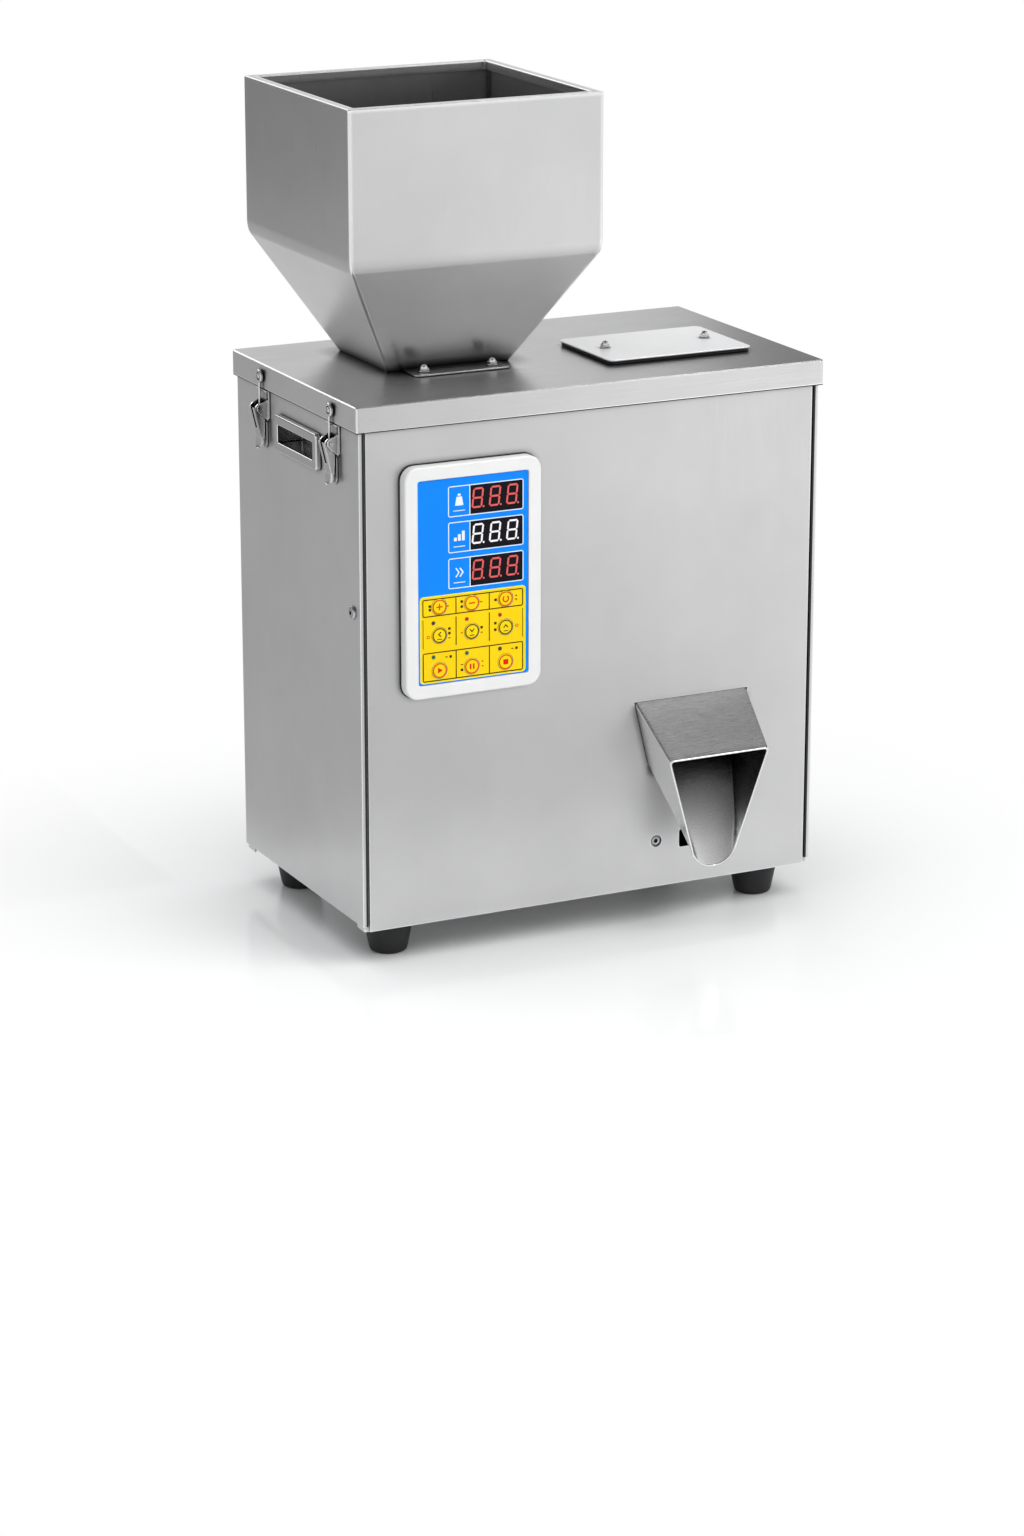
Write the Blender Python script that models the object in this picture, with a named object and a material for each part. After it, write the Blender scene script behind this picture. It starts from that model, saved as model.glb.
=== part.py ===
"""Granule filling machine: a bench-top weigh filler with a hopper, a vibrating feeder, a weigh bucket
and a discharge chute in a folded stainless cabinet. Metres, +Z up, +X to the right along the front
panel, front at -Y. The origin is on the floor, under the middle of the whole machine."""

import math

import bmesh
import bpy
from mathutils import Matrix, Vector

# Sheet metal and fits
SHEET = 0.0012
GAP = 0.0003
PIN_GAP = 0.0003

# Cabinet
BODY_WIDTH = 0.400
BODY_DEPTH = 0.238
BODY_BASE = 0.028
LID_TOP = 0.448
LID_SKIRT = 0.0195
LID_OVERHANG = 0.003
LID_CORNER = 0.0025
COVER_STRIP = 0.004
COVER_SEAM = 0.0016
COVER_LIFT = 0.004
PANEL_FLANGE = 0.014
TRAY_FLANGE = 0.018

# Feet
FOOT_TOP_RADIUS = 0.020
FOOT_BOTTOM_RADIUS = 0.0155
FOOT_ROUND = 0.003
FOOT_INSET_X = 0.035
FOOT_INSET_Y = 0.031

# Hopper
HOPPER_X = -0.0755
HOPPER_BACK = 0.087
HOPPER_WIDTH = 0.216
HOPPER_LENGTH = 0.2035
HOPPER_KINK = 0.542
HOPPER_TOP = 0.664
HOPPER_RIM = 0.008
HOPPER_RETURN = 0.007
HOPPER_BEND = 0.005
OUTLET_WIDTH = 0.105
OUTLET_LENGTH = 0.094
NECK_WIDTH = 0.080
NECK_LENGTH = 0.060
NECK_BOTTOM = 0.388
NECK_STRAIGHT = 0.010
NECK_TAPER = 0.018
CLAMP_WIDTH = 0.082
CLAMP_DEPTH = 0.028
CLAMP_SHEET = 0.0015
CLAMP_BOLT_SPACING = 0.059
CLAMP_BOLT_SETBACK = 0.0175
BOLT_RADIUS = 0.002

# Access hatch on the lid
HATCH_X = 0.104
HATCH_Y = -0.022
HATCH_WIDTH = 0.128
HATCH_LENGTH = 0.092
HATCH_SHEET = 0.0015
HATCH_GASKET = 0.002
HATCH_LAND = 0.010
HATCH_SCREW_SPACING = 0.090

# Control panel on the front
BEZEL_X = -0.1083
BEZEL_Z = 0.3066
BEZEL_WIDTH = 0.1162
BEZEL_HEIGHT = 0.1838
BEZEL_DEPTH = 0.010
BEZEL_CORNER = 0.011
BEZEL_EDGE = 0.0015
SCREEN_WIDTH = 0.0944
SCREEN_HEIGHT = 0.1622
SCREEN_CORNER = 0.002
FILM = 0.001
FILM_SETBACK = 0.0008
BOARD = 0.0016
KEY_RADIUS = 0.0064
KEY_COLLAR = 0.0014
KEY_COLLAR_DEPTH = 0.0008
KEY_TRAVEL = 0.0004
KEY_PROUD = 0.0006
KEY_COLUMNS = (-0.0293, -0.0017, 0.0273)
KEY_ROWS = (-0.0194, -0.0421, -0.0701)
WINDOW_X = 0.0196
WINDOW_WIDTH = 0.0430
WINDOW_HEIGHT = 0.0220
WINDOW_ROWS = (0.0624, 0.0341, 0.0056)

# Discharge chute on the front
CHUTE_X = 0.0886
CHUTE_SHEET = 0.0015
CHUTE_TOP = 0.1850
CHUTE_WALL_HALF = 0.0510
CHUTE_WALL_DROP = 0.0530
CHUTE_WALL_FLOOR = 0.0385
CHUTE_REACH = 0.0490
CHUTE_MOUTH_TOP = 0.1487
CHUTE_MOUTH_HALF = 0.0453
CHUTE_MOUTH_DROP = 0.0800
CHUTE_MOUTH_FLOOR = 0.0205
CHUTE_LIP_DROP = 0.0168
CHUTE_MOUTH_LEAN = 0.0080
CHUTE_COLLAR = 0.012
CHUTE_STEPS = 14
CHUTE_SCREW_X = 0.0583
CHUTE_SCREW_Z = 0.0666
CHUTE_SCREW_HOLE = 0.0050
CHUTE_SCREW_RADIUS = 0.0038
SLOT_WIDTH = 0.0188
SLOT_HEIGHT = 0.0149
SLOT_Z = 0.0659
SLOT_CORNER = 0.002

# Side handles and toggle latches
SIDE_CENTRE_Y = -0.0075
HANDLE_Z = 0.3984
HANDLE_WIDTH = 0.0815
HANDLE_HEIGHT = 0.0295
HANDLE_PROUD = 0.0045
HANDLE_GRIP_WIDTH = 0.069
HANDLE_GRIP_HEIGHT = 0.0140
HANDLE_POCKET = 0.018
HANDLE_WALL = 0.0015
LATCH_SPACING = 0.137
LATCH_BASE_WIDTH = 0.019
LATCH_BASE_BOTTOM = 0.3800
LATCH_BASE_SHOULDER = 0.4010
LATCH_BASE_TAPER = 0.0040
LATCH_BASE_TOP = 0.4275
LATCH_TONGUE = 0.0090
LATCH_LIP = 0.0036
LATCH_BASE_SHEET = 0.0012
LATCH_EAR_HALF = 0.0066
LATCH_EAR_SHEET = 0.0012
LATCH_PIVOT_OUT = 0.0070
LATCH_PIVOT_Z = 0.4130
LATCH_PIN = 0.0015
LEVER_HALF = 0.0056
LEVER_SHEET = 0.0012
LEVER_LENGTH = 0.0330
LEVER_TOP = 0.0007
LEVER_FACE_HALF = 0.0054
LEVER_SPOON = 0.0064
LEVER_SLOT = 0.0018
LEVER_SLOT_END = 0.0165
LEVER_OUT = 0.0038
LEVER_LEAN = 0.235
LEVER_CURL_START = 0.0245
LEVER_CURL = 55.0
LINK_OUT = 0.0050
LINK_PIVOT_DROP = 0.0070
LINK_ROD = 0.0010
RING_Z = 0.4380
RING_OUTER = 0.0056
RING_INNER = 0.0033
RING_THICKNESS = 0.0024
STUD_RADIUS = 0.0022
STUD_COLLAR = 0.0036
STUD_REACH = 0.0034

# Back panel
INLET_X = -0.130
INLET_Z = 0.090
INLET_WIDTH = 0.050
INLET_HEIGHT = 0.062
INLET_FLANGE = 0.003
INLET_BODY_WIDTH = 0.040
INLET_BODY_HEIGHT = 0.052
INLET_DEPTH = 0.026
SOCKET_Z = -0.013
SOCKET_WIDTH = 0.024
SOCKET_HEIGHT = 0.0165
SOCKET_DEPTH = 0.018
ROCKER_Z = 0.0155
ROCKER_WIDTH = 0.013
ROCKER_LENGTH = 0.0206
ROCKER_STUB = 0.0012
VENT_X = 0.090
VENT_Z = 0.300
VENT_WIDTH = 0.070
VENT_HEIGHT = 0.004
VENT_PITCH = 0.010
VENT_COUNT = 8

# Feeder, weigh bucket and funnel inside
TRAY_WIDTH = 0.070
TRAY_SIDE = 0.026
TRAY_FLOOR = 0.366
TRAY_BACK = -0.155
TRAY_END = 0.062
TRAY_SHEET = 0.0015
BRACKET_WIDTH = 0.040
BRACKET_HEIGHT = 0.024
BRACKET_LENGTH = 0.060
BRACKET_X = -0.090
SPRING_LEAN = math.radians(15)
SPRING_SHEET = 0.0008
SPRING_GRIP = 0.014
DRIVE_TOP = 0.260
DRIVE_HEIGHT = 0.044
COIL_HALF = 0.013
COIL_GAP = 0.006
STAND_TOP = DRIVE_TOP - DRIVE_HEIGHT - SPRING_SHEET - 2 * GAP
STAND_SHEET = 0.002
STAND_HALF = 0.034
STAND_FOOT = 0.020
STAND_LENGTH = 0.090
BUCKET_X = 0.0856
BUCKET_WIDTH = 0.070
BUCKET_LENGTH = 0.072
BUCKET_TOP = 0.352
BUCKET_HEIGHT = 0.052
BUCKET_SHEET = 0.0012
FLAP_SHEET = 0.0015
FLAP_PIN = 0.0020
FLAP_HINGE_OUT = 0.0040
FLAP_ARM = 0.012
FLAP_ARM_WIDTH = 0.012
PLUNGER_RADIUS = 0.0030
PLUNGER_LENGTH = 0.030
PLUNGER_START = 0.0006
SOLENOID_SIDE = 0.020
SOLENOID_HEIGHT = 0.034
SOLENOID_LIFT = 0.016
CELL_SIDE = 0.0127
CELL_LENGTH = 0.080
CELL_X = 0.055
CELL_TOP = 0.3127
POST_LENGTH = 0.024
POST_DEPTH = 0.022
POST_SHEET = 0.002
HANGER_SHEET = 0.0015
FUNNEL_TOP = 0.288
FUNNEL_COLLAR = 0.038
FUNNEL_MARGIN = 0.009
FUNNEL_SHEET = 0.0012
SUPPLY_WIDTH = 0.098
SUPPLY_LENGTH = 0.078
SUPPLY_HEIGHT = 0.036
SUPPLY_X = 0.120
SUPPLY_Y = 0.062

# Round pieces
ROUND_STEPS = 24
SMALL_STEPS = 12

# Levels and planes that follow from the sizes above
FRONT = -BODY_DEPTH / 2
BACK = BODY_DEPTH / 2
HOPPER_Y = BACK - HOPPER_BACK
TRAY_Y = HOPPER_Y
BUCKET_Y = TRAY_Y
SIDE = BODY_WIDTH / 2
FOOT_X = SIDE - FOOT_INSET_X
FOOT_Y = BACK - FOOT_INSET_Y
BODY_TOP = LID_TOP - SHEET - GAP
TRAY_TOP = BODY_BASE + SHEET
PANEL_HALF = SIDE - COVER_STRIP - COVER_SEAM
JOGGLE = SHEET + GAP
SCREEN_FACE = FRONT - BEZEL_DEPTH + FILM_SETBACK
CHUTE_FRONT = FRONT - CHUTE_REACH
BACK_REACH = max(HOPPER_Y + HOPPER_LENGTH / 2, BACK + LID_OVERHANG)
CENTRE_Y = (CHUTE_FRONT + BACK_REACH) / 2


class Machine:
    """The empty that every piece is parented to; it puts the machine's middle over the origin."""

    root = None


def clear_scene():
    for old in list(bpy.data.objects):
        bpy.data.objects.remove(old)


def material(name, colour, roughness, metallic):
    found = bpy.data.materials.get(name)
    if found:
        return found
    made = bpy.data.materials.new(name)
    made.use_nodes = True
    made.diffuse_color = (*colour, 1.0)
    shader = made.node_tree.nodes["Principled BSDF"]
    shader.inputs["Base Color"].default_value = (*colour, 1.0)
    shader.inputs["Roughness"].default_value = roughness
    shader.inputs["Metallic"].default_value = metallic
    return made


def steel():
    return material("brushed_steel", (0.62, 0.62, 0.64), 0.34, 1.0)


def bright_steel():
    return material("bright_steel", (0.72, 0.72, 0.73), 0.18, 1.0)


def spring_steel():
    return material("spring_steel", (0.35, 0.36, 0.38), 0.35, 1.0)


def aluminium():
    return material("aluminium", (0.66, 0.67, 0.68), 0.40, 1.0)


def rubber():
    return material("black_rubber", (0.02, 0.02, 0.022), 0.62, 0.0)


def white_plastic():
    return material("white_plastic", (0.86, 0.86, 0.86), 0.35, 0.0)


def film_print():
    return material("printed_film", (0.02, 0.24, 0.83), 0.38, 0.0)


def key_print():
    return material("key_yellow", (0.95, 0.72, 0.01), 0.38, 0.0)


def black_plastic():
    return material("black_plastic", (0.03, 0.03, 0.03), 0.45, 0.0)


def board_green():
    return material("circuit_board", (0.02, 0.16, 0.06), 0.50, 0.0)


def painted_iron():
    return material("painted_iron", (0.10, 0.14, 0.20), 0.50, 0.2)


# Mesh building blocks: each returns or extends a bmesh in machine coordinates


def place(u, v, along, axis):
    """A point from its two in-plane coordinates and its coordinate along the axis."""
    if axis == "X":
        return Vector((along, u, v))
    if axis == "Y":
        return Vector((u, along, v))
    return Vector((u, v, along))


def add_prism(bm, outline, axis, start, end):
    """A closed prism: the outline, a list of (u, v), extruded along an axis from start to end."""
    first = [bm.verts.new(place(u, v, start, axis)) for u, v in outline]
    last = [bm.verts.new(place(u, v, end, axis)) for u, v in outline]
    count = len(outline)
    bm.faces.new(first)
    bm.faces.new(reversed(last))
    for i in range(count):
        j = (i + 1) % count
        bm.faces.new((first[i], first[j], last[j], last[i]))
    bmesh.ops.recalc_face_normals(bm, faces=bm.faces)


def prism(outline, axis, start, end):
    bm = bmesh.new()
    add_prism(bm, outline, axis, start, end)
    return bm


def add_box(bm, low, high):
    outline = [(low[0], low[1]), (high[0], low[1]), (high[0], high[1]), (low[0], high[1])]
    add_prism(bm, outline, "Z", low[2], high[2])


def box(low, high):
    bm = bmesh.new()
    add_box(bm, low, high)
    return bm


def arc(centre_u, centre_v, radius, start, end, steps):
    """Points along an arc, angles in radians, both ends included."""
    angles = [start + (end - start) * i / steps for i in range(steps + 1)]
    return [(centre_u + radius * math.cos(a), centre_v + radius * math.sin(a)) for a in angles]


def rounded_rectangle(centre_u, centre_v, width, height, radius, steps=3):
    """Counterclockwise outline of a rectangle with round corners, starting at its upper right corner."""
    half_u = width / 2 - radius
    half_v = height / 2 - radius
    points = []
    for turn, (side_u, side_v) in enumerate(((1, 1), (-1, 1), (-1, -1), (1, -1))):
        start = turn * math.pi / 2
        points += arc(
            centre_u + side_u * half_u, centre_v + side_v * half_v, radius, start, start + math.pi / 2, steps
        )
    return points


def trough(centre_u, top_v, half, drop, floor_half, sag=0.0, inset=0.0):
    """Counterclockwise outline of a chute: a flat top, sides that lean in, and a floor that sags
    between its two creases as an arc. A positive inset moves a flat-floored outline inwards."""
    lean = math.atan2(half - floor_half, drop)
    across = inset / math.cos(lean)
    down = inset * math.tan(lean)
    top = top_v - inset
    bottom = top_v - drop + inset
    half_top = half - across - down
    half_floor = floor_half - across + down
    points = [(centre_u + half_top, top), (centre_u - half_top, top)]
    if sag > 0:
        radius = (half_floor**2 + sag**2) / (2 * sag)
        spread = math.asin(min(half_floor / radius, 1.0))
        if sag > radius:
            spread = math.pi - spread
        centre_v = bottom - sag + radius
        start = 1.5 * math.pi - spread
        return points + arc(centre_u, centre_v, radius, start, start + 2 * spread, CHUTE_STEPS)
    for i in range(CHUTE_STEPS + 1):
        points.append((centre_u - half_floor + 2 * half_floor * i / CHUTE_STEPS, bottom))
    return points


def bent_sheet(path, thickness):
    """Outline of a sheet folded along an open path of (u, v), thickened to the left of its direction."""
    inner = []
    for i, point in enumerate(path):
        here = Vector(point)
        before = (here - Vector(path[i - 1])).normalized() if i > 0 else None
        after = (Vector(path[i + 1]) - here).normalized() if i < len(path) - 1 else None
        before = before or after
        after = after or before
        left_before = Vector((-before.y, before.x))
        left_after = Vector((-after.y, after.x))
        mitre = (left_before + left_after).normalized()
        inner.append(here + mitre * (thickness / mitre.dot(left_before)))
    return list(path) + [(p.x, p.y) for p in reversed(inner)]


def loft(rings, cap_start=False, cap_end=False):
    """An open skin through rings of equally many points, counterclockwise seen from the last one."""
    bm = bmesh.new()
    rows = [[bm.verts.new(point) for point in ring] for ring in rings]
    for lower, upper in zip(rows, rows[1:]):
        count = len(lower)
        for i in range(count):
            j = (i + 1) % count
            bm.faces.new((lower[i], lower[j], upper[j], upper[i]))
    if cap_start:
        bm.faces.new(reversed(rows[0]))
    if cap_end:
        bm.faces.new(rows[-1])
    return bm


def add_turned(bm, profile, centre, axis, steps=SMALL_STEPS):
    """A closed turned solid. The profile lists (radius, height) from one end of the axis to the other, and
    starts and ends on the axis unless its first and last radius are above zero, which get flat caps."""
    start = len(bm.verts)
    rings = []
    for radius, height in profile:
        if radius <= 0:
            rings.append([bm.verts.new(spun(centre, axis, 0, 0, height))])
            continue
        ring = []
        for i in range(steps):
            angle = 2 * math.pi * (i + 0.5) / steps
            ring.append(bm.verts.new(spun(centre, axis, radius, angle, height)))
        rings.append(ring)
    for lower, upper in zip(rings, rings[1:]):
        skin(bm, lower, upper, steps)
    for end in (rings[0], rings[-1]):
        if len(end) > 1:
            bm.faces.new(end)
    bm.verts.ensure_lookup_table()
    made = {face for vert in bm.verts[start:] for face in vert.link_faces}
    bmesh.ops.recalc_face_normals(bm, faces=list(made))


def spun(centre, axis, radius, angle, height):
    u = radius * math.cos(angle)
    v = radius * math.sin(angle)
    return Vector(centre) + place(u, v, height, axis)


def skin(bm, lower, upper, steps):
    for i in range(steps):
        j = (i + 1) % steps
        if len(lower) == 1:
            bm.faces.new((lower[0], upper[j], upper[i]))
        elif len(upper) == 1:
            bm.faces.new((lower[i], lower[j], upper[0]))
        else:
            bm.faces.new((lower[i], lower[j], upper[j], upper[i]))


def turned(profile, centre, axis, steps=SMALL_STEPS):
    bm = bmesh.new()
    add_turned(bm, profile, centre, axis, steps)
    return bm


def cylinder(centre, axis, radius, start, end, steps=SMALL_STEPS):
    return turned([(radius, start), (radius, end)], centre, axis, steps)


def eye_ring(centre, axis, outer, inner, thickness, steps=16):
    """A flat ring with a softened edge, as a closed solid of revolution that misses its axis."""
    edge = thickness * 0.25
    section = [
        (inner, -thickness / 2),
        (outer - edge, -thickness / 2),
        (outer, -thickness / 2 + edge),
        (outer, thickness / 2 - edge),
        (outer - edge, thickness / 2),
        (inner, thickness / 2),
    ]
    bm = bmesh.new()
    rings = []
    for i in range(steps):
        angle = 2 * math.pi * (i + 0.5) / steps
        rings.append([bm.verts.new(spun(centre, axis, radius, angle, height)) for radius, height in section])
    for i in range(steps):
        here = rings[i]
        after = rings[(i + 1) % steps]
        for j in range(len(section)):
            k = (j + 1) % len(section)
            bm.faces.new((here[j], after[j], after[k], here[k]))
    bmesh.ops.recalc_face_normals(bm, faces=bm.faces)
    return bm


# Objects and modifiers


def new_object(name, bm, finish, origin=(0, 0, 0), smooth=False):
    """An object from a bmesh in machine coordinates, with its origin on a point of the machine."""
    bmesh.ops.translate(bm, verts=bm.verts, vec=-Vector(origin))
    mesh = bpy.data.meshes.new(name)
    bm.to_mesh(mesh)
    bm.free()
    made = bpy.data.objects.new(name, mesh)
    bpy.context.scene.collection.objects.link(made)
    made.parent = Machine.root
    made.location = origin
    mesh.materials.append(finish)
    if smooth:
        mesh.shade_smooth()
        mesh.set_sharp_from_angle(angle=math.radians(35))
    return made


def helper(name, bm):
    """A hidden tool body for a Boolean."""
    made = new_object(name, bm, steel())
    made.hide_render = True
    made.display_type = "WIRE"
    return made


def boolean(target, tool, operation):
    modifier = target.modifiers.new(tool.name, "BOOLEAN")
    modifier.operation = operation
    modifier.object = tool
    modifier.solver = "EXACT"


def cut(target, name, bm):
    boolean(target, helper(name, bm), "DIFFERENCE")


def unite(target, name, bm):
    boolean(target, helper(name, bm), "UNION")


def shell(target, thickness):
    """Thickens an open skin inwards."""
    modifier = target.modifiers.new("shell", "SOLIDIFY")
    modifier.thickness = thickness
    modifier.offset = -1
    modifier.use_even_offset = True


def ring_at(outline, axis, along):
    return [place(u, v, along, axis) for u, v in outline]


# Cabinet


def chute_section(inset=0.0):
    """The chute's outline where it goes through the front panel."""
    return trough(CHUTE_X, CHUTE_TOP, CHUTE_WALL_HALF, CHUTE_WALL_DROP, CHUTE_WALL_FLOOR, inset=inset)


def folded_panel(name, facing):
    """The front (facing -1) or back (facing 1) panel: a sheet whose edges step in behind the side
    covers' folds and then turn along the covers."""
    outer = facing * BODY_DEPTH / 2
    step = outer - facing * JOGGLE
    end = step - facing * PANEL_FLANGE
    flange = SIDE - SHEET - GAP
    path = [
        (-flange, end),
        (-flange, step),
        (-PANEL_HALF, step),
        (-PANEL_HALF, outer),
        (PANEL_HALF, outer),
        (PANEL_HALF, step),
        (flange, step),
        (flange, end),
    ]
    return new_object(name, prism(bent_sheet(path, -facing * SHEET), "Z", BODY_BASE, BODY_TOP), steel())


def build_front_panel():
    panel = folded_panel("front_panel", -1)
    through = (FRONT - 0.002, FRONT + 0.003)
    cut(panel, "chute_opening", prism(chute_section(-GAP), "Y", *through))
    slot = rounded_rectangle(CHUTE_X, SLOT_Z, SLOT_WIDTH, SLOT_HEIGHT, SLOT_CORNER)
    cut(panel, "sensor_slot", prism(slot, "Y", *through))
    hole = (CHUTE_SCREW_X, 0, CHUTE_SCREW_Z)
    cut(panel, "adjuster_hole", cylinder(hole, "Y", CHUTE_SCREW_HOLE, *through, 16))
    cable = rounded_rectangle(BEZEL_X, BEZEL_Z, 0.030, 0.008, 0.002)
    cut(panel, "panel_cable_hole", prism(cable, "Y", *through))


def build_back_panel():
    panel = folded_panel("back_panel", 1)
    through = (BACK - 0.003, BACK + 0.002)
    vents = bmesh.new()
    for i in range(VENT_COUNT):
        height = VENT_Z + (i - (VENT_COUNT - 1) / 2) * VENT_PITCH
        slot = rounded_rectangle(VENT_X, height, VENT_WIDTH, VENT_HEIGHT, VENT_HEIGHT * 0.45, 2)
        add_prism(vents, slot, "Y", *through)
    cut(panel, "vent_slots", vents)
    inlet = rounded_rectangle(
        INLET_X, INLET_Z, INLET_BODY_WIDTH + 2 * GAP, INLET_BODY_HEIGHT + 2 * GAP, 0.001, 1
    )
    cut(panel, "inlet_cutout", prism(inlet, "Y", *through))


def build_side_cover(name, side):
    """A side sheet with narrow folds onto the front and the back, cut for its recessed handle."""
    strip = side * (SIDE - COVER_STRIP)
    path = [(strip, FRONT), (side * SIDE, FRONT), (side * SIDE, BACK), (strip, BACK)]
    sheet = prism(bent_sheet(path, side * SHEET), "Z", BODY_BASE + COVER_LIFT, BODY_TOP)
    cover = new_object(name, sheet, steel())
    pocket = rounded_rectangle(SIDE_CENTRE_Y, HANDLE_Z, *pocket_size(HANDLE_WALL + GAP), 0.002, 2)
    cut(cover, f"{name}_handle_cutout", prism(pocket, "X", side * SIDE - 0.004, side * SIDE + 0.004))


def build_base_tray():
    """The bottom sheet with its four edges folded up."""
    half_x = PANEL_HALF - SHEET - GAP
    half_y = BODY_DEPTH / 2 - SHEET - GAP
    outline = rounded_rectangle(0, 0, 2 * half_x, 2 * half_y, 0.002, 2)
    rings = [ring_at(outline, "Z", height) for height in (BODY_BASE + TRAY_FLANGE, BODY_BASE)]
    skin_up = loft([list(reversed(ring)) for ring in rings], cap_end=True)
    tray = new_object("base_tray", skin_up, steel())
    shell(tray, SHEET)


def build_lid():
    """A flat lid with a skirt all round, open for the hopper's neck and the access hatch."""
    width = BODY_WIDTH + 2 * LID_OVERHANG
    depth = BODY_DEPTH + 2 * LID_OVERHANG
    soft = 0.0008
    outline = rounded_rectangle(0, 0, width, depth, LID_CORNER)
    inner = rounded_rectangle(0, 0, width - 2 * soft, depth - 2 * soft, LID_CORNER - soft)
    rings = [
        ring_at(outline, "Z", LID_TOP - LID_SKIRT),
        ring_at(outline, "Z", LID_TOP - soft),
        ring_at(inner, "Z", LID_TOP),
    ]
    lid = new_object("lid", loft(rings, cap_end=True), steel())
    shell(lid, SHEET)
    through = (LID_TOP - 0.006, LID_TOP + 0.004)
    neck = rounded_rectangle(HOPPER_X, HOPPER_Y, OUTLET_WIDTH + 2 * GAP, OUTLET_LENGTH + 2 * GAP, 0.002)
    cut(lid, "neck_opening", prism(neck, "Z", *through))
    hatch = rounded_rectangle(
        HATCH_X, HATCH_Y, HATCH_WIDTH - 4 * HATCH_LAND, HATCH_LENGTH - 2 * HATCH_LAND, 0.004
    )
    cut(lid, "hatch_opening", prism(hatch, "Z", *through))
    places = [(x, y) for x, y, _, _ in clamp_bolt_places()] + hatch_screw_places()
    cut(lid, "lid_bolt_holes", bolt_holes(places, *through))
    unite(lid, "latch_studs", latch_studs())


def build_feet():
    """Four conical rubber feet with a rounded lower edge."""
    places = {
        "foot_front_left": (-FOOT_X, -FOOT_Y),
        "foot_front_right": (FOOT_X, -FOOT_Y),
        "foot_back_left": (-FOOT_X, FOOT_Y),
        "foot_back_right": (FOOT_X, FOOT_Y),
    }
    height = BODY_BASE - GAP
    profile = [
        (FOOT_BOTTOM_RADIUS - FOOT_ROUND, 0),
        (FOOT_BOTTOM_RADIUS - FOOT_ROUND * 0.3, FOOT_ROUND * 0.3),
        (FOOT_BOTTOM_RADIUS, FOOT_ROUND),
        (FOOT_TOP_RADIUS, height - 0.0015),
        (FOOT_TOP_RADIUS - 0.0007, height),
    ]
    for name, (x, y) in places.items():
        foot = turned(profile, (x, y, 0), "Z", ROUND_STEPS)
        new_object(name, foot, rubber(), origin=(x, y, 0), smooth=True)


# Hopper and hatch


def hopper_ring(width, length, radius, height):
    return ring_at(rounded_rectangle(HOPPER_X, HOPPER_Y, width, length, radius), "Z", height)


def build_hopper():
    """A square bin over a funnel, with a folded rim on top, a neck that goes down through the lid,
    and welded strips that are bolted to it."""
    small = 0.0018
    rings = [
        hopper_ring(NECK_WIDTH, NECK_LENGTH, small, NECK_BOTTOM),
        hopper_ring(NECK_WIDTH, NECK_LENGTH, small, NECK_BOTTOM + NECK_STRAIGHT),
        hopper_ring(OUTLET_WIDTH, OUTLET_LENGTH, small, NECK_BOTTOM + NECK_STRAIGHT + NECK_TAPER),
        hopper_ring(OUTLET_WIDTH, OUTLET_LENGTH, small, LID_TOP),
        hopper_ring(HOPPER_WIDTH, HOPPER_LENGTH, HOPPER_BEND, HOPPER_KINK),
        hopper_ring(HOPPER_WIDTH, HOPPER_LENGTH, HOPPER_BEND, HOPPER_TOP - SHEET),
        hopper_ring(HOPPER_WIDTH - 0.0016, HOPPER_LENGTH - 0.0016, HOPPER_BEND - 0.0008, HOPPER_TOP),
    ]
    mouth = (HOPPER_WIDTH - 2 * HOPPER_RIM, HOPPER_LENGTH - 2 * HOPPER_RIM, small)
    rings.append(hopper_ring(*mouth, HOPPER_TOP))
    rings.append(hopper_ring(*mouth, HOPPER_TOP - HOPPER_RETURN))
    hopper = new_object("hopper", loft(rings), steel())
    shell(hopper, SHEET)
    unite(hopper, "clamp_strips", clamp_strips())
    places = [(x, y) for x, y, _, _ in clamp_bolt_places()]
    cut(hopper, "clamp_holes", bolt_holes(places, LID_TOP - 0.002, LID_TOP + 0.006))


def clamp_bolt_places():
    out = OUTLET_LENGTH / 2 + CLAMP_BOLT_SETBACK
    half = CLAMP_BOLT_SPACING / 2
    return [
        (HOPPER_X + along * half, HOPPER_Y + facing * out, facing, along)
        for facing in (-1, 1)
        for along in (-1, 1)
    ]


def clamp_strips():
    """The strips welded in front of and behind the neck, which hold the hopper down on the lid."""
    strips = bmesh.new()
    low = LID_TOP + GAP
    weld = 0.0001
    depth = CLAMP_DEPTH + weld
    for facing in (-1, 1):
        centre = HOPPER_Y + facing * (OUTLET_LENGTH / 2 - weld + depth / 2)
        outline = rounded_rectangle(HOPPER_X, centre, CLAMP_WIDTH, depth, 0.0002, 1)
        add_prism(strips, outline, "Z", low, low + CLAMP_SHEET)
    return strips


def bolt_holes(places, low, high):
    holes = bmesh.new()
    radius = BOLT_RADIUS + PIN_GAP
    for x, y in places:
        add_turned(holes, [(radius, low), (radius, high)], (x, y, 0), "Z")
    return holes


def cap_nut_profile(seat, radius, shank_end):
    """A bolt with a washer and a domed nut, turned from the dome's top down to the shank's end."""
    return [
        (0, seat + 2.9 * radius),
        (radius * 0.75, seat + 2.6 * radius),
        (radius * 1.15, seat + 1.9 * radius),
        (radius * 1.2, seat + 1.6 * radius),
        (radius * 1.75, seat + 1.5 * radius),
        (radius * 1.75, seat + 0.5 * radius),
        (radius * 2.25, seat + 0.5 * radius),
        (radius * 2.25, seat),
        (radius, seat),
        (radius, shank_end),
        (0, shank_end),
    ]


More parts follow.
